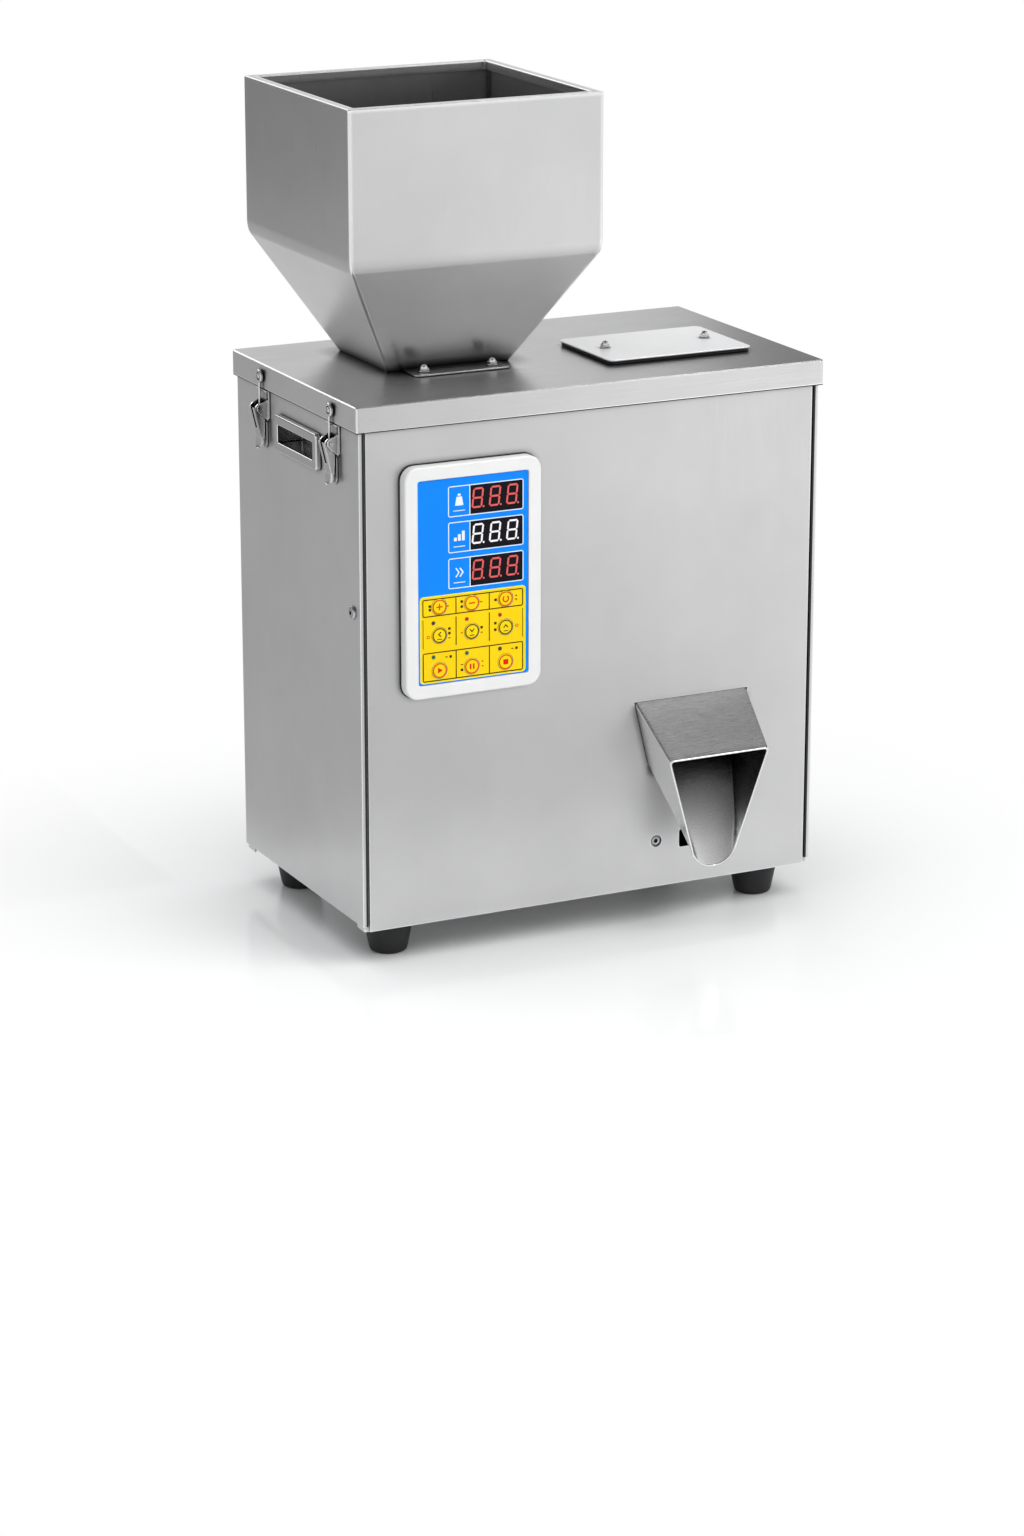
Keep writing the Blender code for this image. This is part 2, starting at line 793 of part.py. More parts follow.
def build_hopper_bolts():
    """Four bolts through the hopper's strips and the lid."""
    seat = LID_TOP + CLAMP_SHEET + 2 * GAP
    profile = cap_nut_profile(seat, BOLT_RADIUS, LID_TOP - 0.005)
    for x, y, facing, along in clamp_bolt_places():
        end = "front" if facing < 0 else "back"
        hand = "left" if along < 0 else "right"
        bolt = turned([(radius, height - seat) for radius, height in profile], (x, y, seat), "Z")
        new_object(f"hopper_bolt_{end}_{hand}", bolt, bright_steel(), origin=(x, y, seat), smooth=True)


def hatch_screw_places():
    return [(HATCH_X + side * HATCH_SCREW_SPACING / 2, HATCH_Y) for side in (-1, 1)]


def build_hatch():
    """The access plate over the weigh bucket with its two captive screws, and its gasket."""
    gasket_low = LID_TOP + GAP
    plate_low = gasket_low + HATCH_GASKET + GAP
    outline = rounded_rectangle(HATCH_X, HATCH_Y, HATCH_WIDTH, HATCH_LENGTH, 0.006, 4)
    plate = new_object("hatch_cover", prism(outline, "Z", plate_low, plate_low + HATCH_SHEET), steel())
    screws = bmesh.new()
    profile = cap_nut_profile(plate_low + HATCH_SHEET - 0.0001, BOLT_RADIUS, LID_TOP - 0.005)
    for x, y in hatch_screw_places():
        add_turned(screws, profile, (x, y, 0), "Z")
    unite(plate, "hatch_screws", screws)
    inset = 0.001
    edge = rounded_rectangle(HATCH_X, HATCH_Y, HATCH_WIDTH - 2 * inset, HATCH_LENGTH - 2 * inset, 0.005, 3)
    gasket = new_object("hatch_gasket", prism(edge, "Z", gasket_low, gasket_low + HATCH_GASKET), rubber())
    hole = rounded_rectangle(
        HATCH_X, HATCH_Y, HATCH_WIDTH - 4 * HATCH_LAND, HATCH_LENGTH - 2 * HATCH_LAND, 0.004
    )
    cut(gasket, "gasket_window", prism(hole, "Z", LID_TOP - 0.002, plate_low + 0.002))
    cut(gasket, "gasket_holes", bolt_holes(hatch_screw_places(), LID_TOP - 0.002, plate_low + 0.002))


# Discharge chute


def build_chute():
    """A folded spout: a sloping roof and leaning sides over a floor that starts flat at the front
    panel and is rolled into a round lip, with a collar that goes in through the panel."""
    collar_end = FRONT + SHEET + CHUTE_COLLAR
    mouth = trough(
        CHUTE_X, CHUTE_MOUTH_TOP, CHUTE_MOUTH_HALF, CHUTE_MOUTH_DROP, CHUTE_MOUTH_FLOOR, sag=CHUTE_LIP_DROP
    )
    height = CHUTE_MOUTH_DROP + CHUTE_LIP_DROP
    lip = [
        Vector((x, CHUTE_FRONT + CHUTE_MOUTH_LEAN * (CHUTE_MOUTH_TOP - z) / height, z)) for x, z in mouth
    ]
    section = chute_section()
    rings = [ring_at(section, "Y", collar_end), ring_at(section, "Y", FRONT), lip]
    chute = new_object("discharge_chute", loft(rings), steel())
    shell(chute, CHUTE_SHEET)
    chute.data.shade_smooth()
    chute.data.set_sharp_from_angle(angle=math.radians(14))


def build_chute_screw():
    """The socket-headed adjuster that shows in its hole left of the chute."""
    centre = (CHUTE_SCREW_X, FRONT + SHEET, CHUTE_SCREW_Z)
    radius = CHUTE_SCREW_RADIUS
    profile = [
        (0, 0.0020),
        (radius * 0.45, 0.0020),
        (radius * 0.50, -0.0006),
        (radius * 0.85, -0.0006),
        (radius, -0.0002),
        (radius, GAP),
        (radius * 1.9, GAP),
        (radius * 1.9, 0.0030),
        (radius * 0.7, 0.0030),
        (radius * 0.7, 0.0140),
        (0, 0.0140),
    ]
    new_object("adjuster_screw", turned(profile, centre, "Y", 12), bright_steel(), smooth=True)


def build_funnel():
    """The inner funnel from under the weigh bucket to the chute's collar."""
    width = BUCKET_WIDTH + 2 * FUNNEL_MARGIN
    length = BUCKET_LENGTH + 2 * FUNNEL_MARGIN
    start = FRONT + SHEET + 0.003
    bend = FRONT + SHEET + CHUTE_COLLAR + 0.003
    end = chute_section(CHUTE_SHEET + GAP)
    half_x = width / 2
    half_y = length / 2

    def top_outline(height):
        points = [(half_x, half_y), (-half_x, half_y)]
        points += [(-half_x + width * i / CHUTE_STEPS, -half_y) for i in range(CHUTE_STEPS + 1)]
        return [Vector((BUCKET_X + u, BUCKET_Y - v, height)) for u, v in points]

    rings = [top_outline(FUNNEL_TOP), top_outline(FUNNEL_TOP - FUNNEL_COLLAR)]
    rings += [ring_at(end, "Y", bend), ring_at(end, "Y", start)]
    funnel = new_object("inner_funnel", loft(rings), steel())
    shell(funnel, FUNNEL_SHEET)


# Side handles


def pocket_size(extra):
    return HANDLE_GRIP_WIDTH + 2 * extra, HANDLE_GRIP_HEIGHT + 2 * extra


def build_handle(name, side):
    """A recessed pull: a raised frame outside the cover and a blind pocket inside it."""
    face = SIDE + GAP
    rings = []
    softening = ((0, 0.0), (0, HANDLE_PROUD - 0.001), (0.001, HANDLE_PROUD))
    for inset, out in softening:
        outline = rounded_rectangle(
            SIDE_CENTRE_Y, HANDLE_Z, HANDLE_WIDTH - 2 * inset, HANDLE_HEIGHT - 2 * inset, 0.003 - inset, 2
        )
        rings.append(ring_at(outline, "X", side * (face + out)))
    body = loft(rings, cap_start=True, cap_end=True)
    bmesh.ops.recalc_face_normals(body, faces=body.faces)
    handle = new_object(name, body, bright_steel())
    pocket = rounded_rectangle(SIDE_CENTRE_Y, HANDLE_Z, *pocket_size(HANDLE_WALL), 0.002, 2)
    inner_end = side * (SIDE - HANDLE_POCKET)
    unite(handle, f"{name}_pocket", prism(pocket, "X", inner_end, side * (face + 0.001)))
    grip = rounded_rectangle(SIDE_CENTRE_Y, HANDLE_Z, *pocket_size(0), 0.001, 2)
    bottom = inner_end + side * HANDLE_WALL
    cut(handle, f"{name}_grip", prism(grip, "X", bottom, side * (face + HANDLE_PROUD + 0.002)))


# Toggle latches


def latch_point(side, y, out, along, height):
    """A point of a latch: distance out from the side cover, along it from the latch's middle, and height."""
    return Vector((side * (SIDE + out), y + along, height))


def add_latch_prism(bm, side, y, outline, start, end):
    """Adds a prism along the latch's width from an outline of (out, height)."""
    placed = [(side * (SIDE + out), height) for out, height in outline]
    add_prism(bm, placed, "Y", y + start, y + end)


def latch_prism(side, y, outline, start, end):
    bm = bmesh.new()
    add_latch_prism(bm, side, y, outline, start, end)
    return bm


def latch_pin(side, y, out, height, radius, start, end, steps=10):
    return cylinder((side * (SIDE + out), y, height), "Y", radius, start, end, steps)


def latch_rows():
    """Where the front and the back latches are along the side."""
    return {"front": SIDE_CENTRE_Y - LATCH_SPACING / 2, "back": SIDE_CENTRE_Y + LATCH_SPACING / 2}


def latch_places():
    return [(side, y) for side in (-1, 1) for y in latch_rows().values()]


def build_latch_base(name, side, y):
    """A plate on the side cover with two ears that carry the lever's pivot."""
    half = LATCH_BASE_WIDTH / 2
    tongue = LATCH_TONGUE / 2
    shoulder = LATCH_BASE_SHOULDER + LATCH_BASE_TAPER
    outline = [(y + half, LATCH_BASE_TOP), (y - half, LATCH_BASE_TOP), (y - half, shoulder)]
    outline += [(y - tongue, LATCH_BASE_SHOULDER)]
    outline += arc(y, LATCH_BASE_BOTTOM + tongue, tongue, math.pi, 2 * math.pi, 6)
    outline += [(y + tongue, LATCH_BASE_SHOULDER), (y + half, shoulder)]
    low = SIDE + GAP
    plate = prism(outline, "X", side * low, side * (low + LATCH_BASE_SHEET))
    base = new_object(name, plate, bright_steel())
    lip_low = LATCH_BASE_TOP - LATCH_BASE_SHEET
    lip = [(GAP, lip_low), (LATCH_LIP, lip_low), (LATCH_LIP, LATCH_BASE_TOP), (GAP, LATCH_BASE_TOP)]
    unite(base, f"{name}_lip", latch_prism(side, y, lip, -half, half))
    root = GAP + LATCH_BASE_SHEET * 0.5
    tip = LATCH_PIVOT_OUT + 0.0030
    ear = [
        (root, LATCH_PIVOT_Z - 0.0105),
        (tip - 0.003, LATCH_PIVOT_Z - 0.0050),
        (tip, LATCH_PIVOT_Z - 0.0015),
        (tip, LATCH_PIVOT_Z + 0.0015),
        (tip - 0.0018, LATCH_PIVOT_Z + 0.0035),
        (root, LATCH_PIVOT_Z + 0.0065),
    ]
    ears = bmesh.new()
    for hand in (-1, 1):
        start = hand * (LATCH_EAR_HALF - LATCH_EAR_SHEET / 2)
        add_latch_prism(ears, side, y, ear, start, start + hand * LATCH_EAR_SHEET)
    unite(base, f"{name}_ears", ears)
    reach = LATCH_EAR_HALF + LATCH_EAR_SHEET
    bore = latch_pin(side, y, LATCH_PIVOT_OUT, LATCH_PIVOT_Z, LATCH_PIN + PIN_GAP, -reach, reach)
    cut(base, f"{name}_bore", bore)


def lever_outline():
    """The lever's face seen from outside: (along, drop below the pivot). A slot at the top lets the
    link's rod swing through, and the end is a round spoon."""
    end = LEVER_LENGTH - LEVER_SPOON
    neck = math.acos(LEVER_FACE_HALF / LEVER_SPOON)
    points = [(LEVER_FACE_HALF, LEVER_TOP)]
    points += arc(0, -end, LEVER_SPOON, neck, -math.pi - neck, 10)
    points += [(-LEVER_FACE_HALF, LEVER_TOP), (-LEVER_SLOT, LEVER_TOP), (-LEVER_SLOT, -LEVER_SLOT_END)]
    points += [(LEVER_SLOT, -LEVER_SLOT_END), (LEVER_SLOT, LEVER_TOP)]
    return points


def lever_face(drop):
    """How far the back of the lever's face is outside its pivot, at a drop below it."""
    return LEVER_OUT - LEVER_LEAN * drop + LEVER_CURL * max(drop - LEVER_CURL_START, 0) ** 2


def build_latch_lever(name, side, y):
    """A toggle lever: two tapering cheeks on the pivot stubs under a face that leans in to the cover."""
    pivot = latch_point(side, y, LATCH_PIVOT_OUT, 0, LATCH_PIVOT_Z)
    weld = LEVER_SHEET / 2
    cheek = [
        (-0.0035, 0.0020),
        (-0.0036, -0.0170),
        (-0.0030, -LEVER_CURL_START),
        (lever_face(LEVER_CURL_START) + weld, -LEVER_CURL_START),
        (lever_face(0) + weld, 0.0),
        (0.0036, 0.0020),
        (0.0018, 0.0036),
        (-0.0018, 0.0036),
    ]
    placed = [(LATCH_PIVOT_OUT + out, LATCH_PIVOT_Z + height) for out, height in cheek]
    first = latch_prism(side, y, placed, LEVER_HALF - LEVER_SHEET, LEVER_HALF)
    lever = new_object(name, first, bright_steel(), origin=pivot)
    second = latch_prism(side, y, placed, -LEVER_HALF, LEVER_SHEET - LEVER_HALF)
    unite(lever, f"{name}_cheek", second)
    unite(lever, f"{name}_paddle", lever_paddle(side, y))
    stub_end = LATCH_EAR_HALF + LATCH_EAR_SHEET / 2 + 0.0006
    for hand in (-1, 1):
        start = hand * (LEVER_HALF - LEVER_SHEET / 2)
        stub = latch_pin(side, y, LATCH_PIVOT_OUT, LATCH_PIVOT_Z, LATCH_PIN, start, hand * stub_end)
        unite(lever, f"{name}_stub_{hand}", stub)
    hole = latch_pin(
        side, y, LINK_OUT, LATCH_PIVOT_Z - LINK_PIVOT_DROP, LINK_ROD + PIN_GAP, -0.010, 0.010, 8
    )
    cut(lever, f"{name}_link_hole", hole)


def lever_paddle(side, y):
    """The lever's face, a plate bent so that it leans in and its spoon end curls out for a finger."""
    outline = [(y + along, LATCH_PIVOT_Z + height) for along, height in lever_outline()]
    low = side * (SIDE + LATCH_PIVOT_OUT)
    bm = prism(outline, "X", low, low + side * LEVER_SHEET)
    bmesh.ops.triangulate(bm, faces=bm.faces)
    for vert in bm.verts:
        vert.co.x += side * lever_face(LATCH_PIVOT_Z - vert.co.z)
    return bm


def build_latch_link(name, side, y):
    """The draw link: a crossbar in the lever's cheeks, a rod and a ring over the stud on the lid."""
    foot_z = LATCH_PIVOT_Z - LINK_PIVOT_DROP
    foot = latch_point(side, y, LINK_OUT, 0, foot_z)
    ring_centre = latch_point(side, y, LINK_OUT, 0, RING_Z)
    ring = eye_ring(ring_centre, "X", RING_OUTER, RING_INNER, RING_THICKNESS)
    link = new_object(name, ring, bright_steel(), origin=foot)
    rod = cylinder((foot.x, foot.y, 0), "Z", LINK_ROD, foot_z, RING_Z - (RING_OUTER + RING_INNER) / 2, 8)
    unite(link, f"{name}_rod", rod)
    half = LEVER_HALF + 0.0001
    unite(link, f"{name}_crossbar", latch_pin(side, y, LINK_OUT, foot_z, LINK_ROD, -half, half, 8))


def latch_studs():
    """Four headless studs on the lid's skirt, each with a collar that keeps its latch ring off the skirt."""
    studs = bmesh.new()
    for side, y in latch_places():
        seat = latch_point(side, y, LID_OVERHANG, 0, RING_Z)
        profile = [
            (STUD_RADIUS, -side * SHEET * 0.5),
            (STUD_COLLAR, -side * SHEET * 0.5),
            (STUD_COLLAR, side * 0.0005),
            (STUD_RADIUS, side * 0.0005),
            (STUD_RADIUS, side * (STUD_REACH - 0.0004)),
            (STUD_RADIUS - 0.0004, side * STUD_REACH),
        ]
        add_turned(studs, profile, seat, "X")
    return studs


def build_latches():
    for side, hand in ((-1, "left"), (1, "right")):
        for end, y in latch_rows().items():
            label = f"{hand}_{end}"
            build_latch_base(f"latch_base_{label}", side, y)
            build_latch_lever(f"latch_lever_{label}", side, y)
            build_latch_link(f"latch_link_{label}", side, y)


# Control panel


def screen_outline(extra=0.0):
    return rounded_rectangle(
        BEZEL_X, BEZEL_Z, SCREEN_WIDTH + 2 * extra, SCREEN_HEIGHT + 2 * extra, SCREEN_CORNER + extra
    )


def key_places():
    return [(BEZEL_X + across, BEZEL_Z + up) for up in KEY_ROWS for across in KEY_COLUMNS]


def window_places():
    return [(BEZEL_X + WINDOW_X, BEZEL_Z + up) for up in WINDOW_ROWS]


def build_bezel():
    """A moulded frame, proud of the front panel, with a rounded outer edge."""
    back = FRONT - GAP
    face = FRONT - BEZEL_DEPTH
    rings = []
    for inset, y in ((0, back), (0, face + BEZEL_EDGE), (0.0005, face + 0.0005), (BEZEL_EDGE, face)):
        outline = rounded_rectangle(
            BEZEL_X, BEZEL_Z, BEZEL_WIDTH - 2 * inset, BEZEL_HEIGHT - 2 * inset, BEZEL_CORNER - inset, 5
        )
        rings.append(ring_at(outline, "Y", y))
    bezel = new_object("control_bezel", loft(rings, cap_start=True, cap_end=True), white_plastic())
    cut(bezel, "screen_opening", prism(screen_outline(), "Y", face - 0.002, FRONT + 0.002))


def build_film():
    """The printed membrane, with holes for the nine keys."""
    film = new_object(
        "control_film", prism(screen_outline(-GAP), "Y", SCREEN_FACE, SCREEN_FACE + FILM), film_print()
    )
    keys = bmesh.new()
    for x, z in key_places():
        hole = [(KEY_RADIUS + GAP, SCREEN_FACE - 0.002), (KEY_RADIUS + GAP, SCREEN_FACE + FILM + 0.002)]
        add_turned(keys, hole, (x, 0, z), "Y", 20)
    cut(film, "key_holes", keys)


def board_face():
    """The side of the circuit board that faces the keys."""
    return FRONT - GAP - BOARD


def build_board():
    """The circuit board on the back of the bezel, with three display modules that reach up to the film."""
    board = new_object(
        "display_board", prism(screen_outline(-GAP), "Y", board_face(), FRONT - GAP), board_green()
    )
    modules = bmesh.new()
    for x, z in window_places():
        outline = rounded_rectangle(x, z, WINDOW_WIDTH, WINDOW_HEIGHT, 0.001, 1)
        add_prism(modules, outline, "Y", SCREEN_FACE + FILM + GAP, board_face() + 0.0005)
    unite(board, "display_modules", modules)


def build_keys():
    """Nine round keys, each captive behind the film on its collar and standing on a stem over the board."""
    film_back = SCREEN_FACE + FILM
    for number, (x, z) in enumerate(key_places(), start=1):
        stem_end = board_face() - GAP - KEY_TRAVEL
        face = SCREEN_FACE - KEY_PROUD
        profile = [
            (KEY_RADIUS - 0.0004, face),
            (KEY_RADIUS, face + 0.0003),
            (KEY_RADIUS, film_back + GAP),
            (KEY_RADIUS + KEY_COLLAR, film_back + GAP),
            (KEY_RADIUS + KEY_COLLAR, film_back + GAP + KEY_COLLAR_DEPTH),
            (KEY_RADIUS * 0.4, film_back + GAP + KEY_COLLAR_DEPTH),
            (KEY_RADIUS * 0.4, stem_end),
        ]
        key = turned([(radius, y - face) for radius, y in profile], (x, face, z), "Y", 16)
        new_object(f"key_{number}", key, key_print(), origin=(x, face, z), smooth=True)


# Back panel fittings


def rocker_pivot():
    return Vector((INLET_X, BACK + INLET_FLANGE - 0.002, INLET_Z + ROCKER_Z))


def build_inlet():
    """A moulded inlet with a recessed three-pin socket and a well for the rocker."""
    outline = rounded_rectangle(INLET_X, INLET_Z, INLET_WIDTH, INLET_HEIGHT, 0.003, 3)
    face = BACK + GAP + INLET_FLANGE
    inlet = new_object("power_inlet", prism(outline, "Y", BACK + GAP, face), black_plastic())
    body = rounded_rectangle(INLET_X, INLET_Z, INLET_BODY_WIDTH, INLET_BODY_HEIGHT, 0.001, 1)
    unite(inlet, "inlet_body", prism(body, "Y", BACK - INLET_DEPTH, BACK + GAP + 0.001))
    socket_z = INLET_Z + SOCKET_Z
    half = SOCKET_WIDTH / 2
    tall = SOCKET_HEIGHT / 2
    bite = 0.004
    socket = [
        (INLET_X - half, socket_z - tall),
        (INLET_X + half, socket_z - tall),
        (INLET_X + half, socket_z + tall - bite),
        (INLET_X + half - bite, socket_z + tall),
        (INLET_X - half + bite, socket_z + tall),
        (INLET_X - half, socket_z + tall - bite),
    ]
    cut(inlet, "inlet_socket", prism(socket, "Y", face - SOCKET_DEPTH, face + 0.002))
    pins = bmesh.new()
    for across, up in ((-0.007, -0.002), (0, 0.002), (0.007, -0.002)):
        low = (INLET_X + across - 0.001, face - SOCKET_DEPTH - 0.001, socket_z + up - 0.002)
        high = (INLET_X + across + 0.001, face - 0.003, socket_z + up + 0.002)
        add_box(pins, low, high)
    unite(inlet, "inlet_pins", pins)
    pivot = rocker_pivot()
    well = rounded_rectangle(
        INLET_X, INLET_Z + ROCKER_Z, ROCKER_WIDTH + 4 * GAP, ROCKER_LENGTH + 4 * GAP, 0.0008, 1
    )
    cut(inlet, "rocker_well", prism(well, "Y", pivot.y - 0.011, face + 0.002))
    reach = ROCKER_WIDTH / 2 + 0.0020
    cut(inlet, "rocker_bearings", cylinder(pivot, "X", ROCKER_STUB + PIN_GAP, -reach, reach, 10))


def build_rocker():
    """A rocker whose two faces meet at a shallow angle over its pivot, with ends curved about that pivot."""
    pivot = rocker_pivot()
    half = ROCKER_LENGTH / 2
    outline = arc(0, 0, half, math.radians(40), math.radians(96), 6)
    outline += [(-0.0070, 0.0020), (-0.0070, -0.0020), (-0.0020, -half * 0.95)]
    outline += arc(0, 0, half, math.radians(-86), math.radians(-73), 2)
    outline += [(0.0034, -half * 0.5), (0.0030, 0), (0.0048, half * 0.35)]
    placed = [(pivot.y + u, pivot.z + v) for u, v in outline]
    half_x = ROCKER_WIDTH / 2
    rocker = prism(placed, "X", INLET_X - half_x, INLET_X + half_x)
    made = new_object("power_rocker", rocker, black_plastic(), origin=pivot)
    reach = half_x + 0.0016
    unite(made, "rocker_stubs", cylinder(pivot, "X", ROCKER_STUB, -reach, reach, 10))


# Feeder


def leaned(x, height, reference):
    """The x of a leaning feeder spring's line at a height."""
    return x - math.tan(SPRING_LEAN) * (height - reference)


def leaning_block(x, half, low, high, reference):
    """Outline in (x, z) of a block whose ends follow the springs' lean."""
    return [
        (leaned(x - half, low, reference), low),
        (leaned(x + half, low, reference), low),
        (leaned(x + half, high, reference), high),
        (leaned(x - half, high, reference), high),
    ]


def bracket_bottom():
    return TRAY_FLOOR - TRAY_SHEET - BRACKET_HEIGHT


def build_feeder_tray():
    """A folded trough closed at its back end, on the bracket that the leaf springs carry."""
    half = TRAY_WIDTH / 2
    top = TRAY_FLOOR + TRAY_SIDE
    floor = TRAY_FLOOR - TRAY_SHEET
    path = [
        (TRAY_Y - half, top),
        (TRAY_Y - half, floor),
        (TRAY_Y + half, floor),
        (TRAY_Y + half, top),
    ]
    tray = new_object("feeder_tray", prism(bent_sheet(path, TRAY_SHEET), "X", TRAY_BACK, TRAY_END), steel())
    end = box(
        (TRAY_BACK, TRAY_Y - half + TRAY_SHEET / 2, floor + TRAY_SHEET / 2),
        (TRAY_BACK + TRAY_SHEET, TRAY_Y + half - TRAY_SHEET / 2, top),
    )
    unite(tray, "tray_end", end)
    block = leaning_block(BRACKET_X, BRACKET_LENGTH / 2, bracket_bottom(), floor + 0.0005, bracket_bottom())
    half_bracket = BRACKET_WIDTH / 2
    unite(tray, "tray_bracket", prism(block, "Y", TRAY_Y - half_bracket, TRAY_Y + half_bracket))


def build_leaf_spring():
    """One spring strip folded into a U: its web is clamped under the drive and its legs lean up to
    the bracket."""
    high = bracket_bottom() + SPRING_GRIP
    low = DRIVE_TOP - DRIVE_HEIGHT - GAP
    half = BRACKET_LENGTH / 2 + GAP / math.cos(SPRING_LEAN)
    reference = bracket_bottom()
    path = [
        (leaned(BRACKET_X - half, high, reference), high),
        (leaned(BRACKET_X - half, low, reference), low),
        (leaned(BRACKET_X + half, low, reference), low),
        (leaned(BRACKET_X + half, high, reference), high),
    ]
    half_width = BRACKET_WIDTH / 2 - 0.002
    outline = bent_sheet(path, -SPRING_SHEET)
    new_object(
        "leaf_spring", prism(outline, "Y", TRAY_Y - half_width, TRAY_Y + half_width), spring_steel()
    )


def build_drive():
    """The electromagnetic drive: a heavy base with the coil and its pole under the tray's bracket."""
    reference = bracket_bottom()
    low = DRIVE_TOP - DRIVE_HEIGHT
    outline = leaning_block(BRACKET_X, BRACKET_LENGTH / 2, low, DRIVE_TOP, reference)
    half = BRACKET_WIDTH / 2 + 0.004
    drive = new_object(
        "vibrator_drive", prism(outline, "Y", TRAY_Y - half, TRAY_Y + half), painted_iron()
    )
    pole = bracket_bottom() - COIL_GAP
    coil_x = leaned(BRACKET_X, (DRIVE_TOP + pole) / 2, reference)
    coil = rounded_rectangle(coil_x, TRAY_Y, 2 * COIL_HALF, 2 * COIL_HALF, 0.005, 3)
    unite(drive, "drive_coil", prism(coil, "Z", DRIVE_TOP - 0.002, pole - 0.008))
    core = rounded_rectangle(coil_x, TRAY_Y, COIL_HALF, COIL_HALF, 0.001, 1)
    unite(drive, "drive_pole", prism(core, "Z", pole - 0.010, pole))


def build_stand():
    """A hat-section bracket that lifts the drive off the base tray."""
    low = TRAY_TOP + GAP
    centre = leaned(BRACKET_X, DRIVE_TOP - DRIVE_HEIGHT, bracket_bottom())
    half = STAND_LENGTH / 2
    path = [
        (centre - half - STAND_FOOT, low + STAND_SHEET),
        (centre - half, low + STAND_SHEET),
        (centre - half, STAND_TOP),
        (centre + half, STAND_TOP),
        (centre + half, low + STAND_SHEET),
        (centre + half + STAND_FOOT, low + STAND_SHEET),
    ]
    outline = bent_sheet(path, -STAND_SHEET)
    stand = prism(outline, "Y", TRAY_Y - STAND_HALF, TRAY_Y + STAND_HALF)
    new_object("feeder_stand", stand, steel())


# Weigh bucket


def flap_hinge():
    x = BUCKET_X + BUCKET_WIDTH / 2 + FLAP_HINGE_OUT
    return Vector((x, BUCKET_Y, BUCKET_TOP - BUCKET_HEIGHT - 0.0030))


def build_bucket():
    """An open-ended box with two ears for the flap's hinge pin."""
    bottom = BUCKET_TOP - BUCKET_HEIGHT
    outline = rounded_rectangle(BUCKET_X, BUCKET_Y, BUCKET_WIDTH, BUCKET_LENGTH, 0.003, 2)
    rings = [ring_at(outline, "Z", bottom), ring_at(outline, "Z", BUCKET_TOP)]
    bucket = new_object("weigh_bucket", loft(rings), steel())
    shell(bucket, BUCKET_SHEET)
    hinge = flap_hinge()
    reach = FLAP_PIN + 0.0025
    ear = [
        (hinge.x - 0.016, bottom + 0.010),
        (hinge.x - 0.016, bottom + 0.002),
        (hinge.x - reach, hinge.z - reach * 0.6),
        (hinge.x, hinge.z - reach),
        (hinge.x + reach, hinge.z - reach * 0.4),
        (hinge.x + reach, hinge.z + reach * 0.6),
        (hinge.x - 0.004, bottom + 0.010),
    ]
    for hand in (-1, 1):
        wall = BUCKET_Y + hand * BUCKET_LENGTH / 2
        start = wall - hand * BUCKET_SHEET / 2
        end = wall + hand * BUCKET_SHEET
        unite(bucket, f"bucket_ear_{hand}", prism(ear, "Y", start, end))
    reach_y = BUCKET_LENGTH / 2 + 2 * BUCKET_SHEET
    bore = cylinder((hinge.x, BUCKET_Y, hinge.z), "Y", FLAP_PIN + PIN_GAP, -reach_y, reach_y, 12)
    cut(bucket, "bucket_bore", bore)


def build_flap():
    """The discharge flap with its hinge pin and the arm that the solenoid works."""
    hinge = flap_hinge()
    half = BUCKET_LENGTH / 2
    pin_reach = half + BUCKET_SHEET + 0.0004
    pin = cylinder((hinge.x, BUCKET_Y, hinge.z), "Y", FLAP_PIN, -pin_reach, pin_reach, 12)
    flap = new_object("bucket_flap", pin, steel(), origin=hinge)
    inner = half - BUCKET_SHEET
    top = BUCKET_TOP - BUCKET_HEIGHT - GAP
    plate = box(
        (BUCKET_X - BUCKET_WIDTH / 2, BUCKET_Y - inner, top - FLAP_SHEET),
        (hinge.x, BUCKET_Y + inner, top),
    )
    unite(flap, "flap_plate", plate)
    arm_y = plunger_place()[1]
    arm = box(
        (hinge.x, arm_y - FLAP_ARM_WIDTH / 2, hinge.z - 0.0015),
        (hinge.x + FLAP_ARM, arm_y + FLAP_ARM_WIDTH / 2, hinge.z + 0.0015),
    )
    unite(flap, "flap_arm", arm)


def plunger_place():
    """The plunger's axis and its lower end, just over the flap's arm."""
    hinge = flap_hinge()
    y = hanger_face() - GAP - SOLENOID_SIDE / 2
    return hinge.x + FLAP_ARM - PLUNGER_RADIUS * 0.7, y, hinge.z + 0.0015 + PLUNGER_START


def hanger_face():
    """The front face of the hanger plate, just behind the bucket's back wall and its hinge ear."""
    return BUCKET_Y + BUCKET_LENGTH / 2 + BUCKET_SHEET + GAP


def build_solenoid():
    """The open-frame solenoid that pulls the flap's arm up, and its plunger."""
    x, y, low = plunger_place()
    half = SOLENOID_SIDE / 2
    bottom = low + SOLENOID_LIFT
    body = box((x - half, y - half, bottom), (x + half, y + half, bottom + SOLENOID_HEIGHT))
    solenoid = new_object("flap_solenoid", body, painted_iron())
    through = (bottom - 0.001, bottom + SOLENOID_HEIGHT + 0.001)
    bore = cylinder((x, y, 0), "Z", PLUNGER_RADIUS + PIN_GAP, *through, 12)
    cut(solenoid, "solenoid_bore", bore)
    rod = cylinder((x, y, 0), "Z", PLUNGER_RADIUS, low, low + PLUNGER_LENGTH, 12)
    new_object("solenoid_plunger", rod, bright_steel(), origin=(x, y, low), smooth=True)


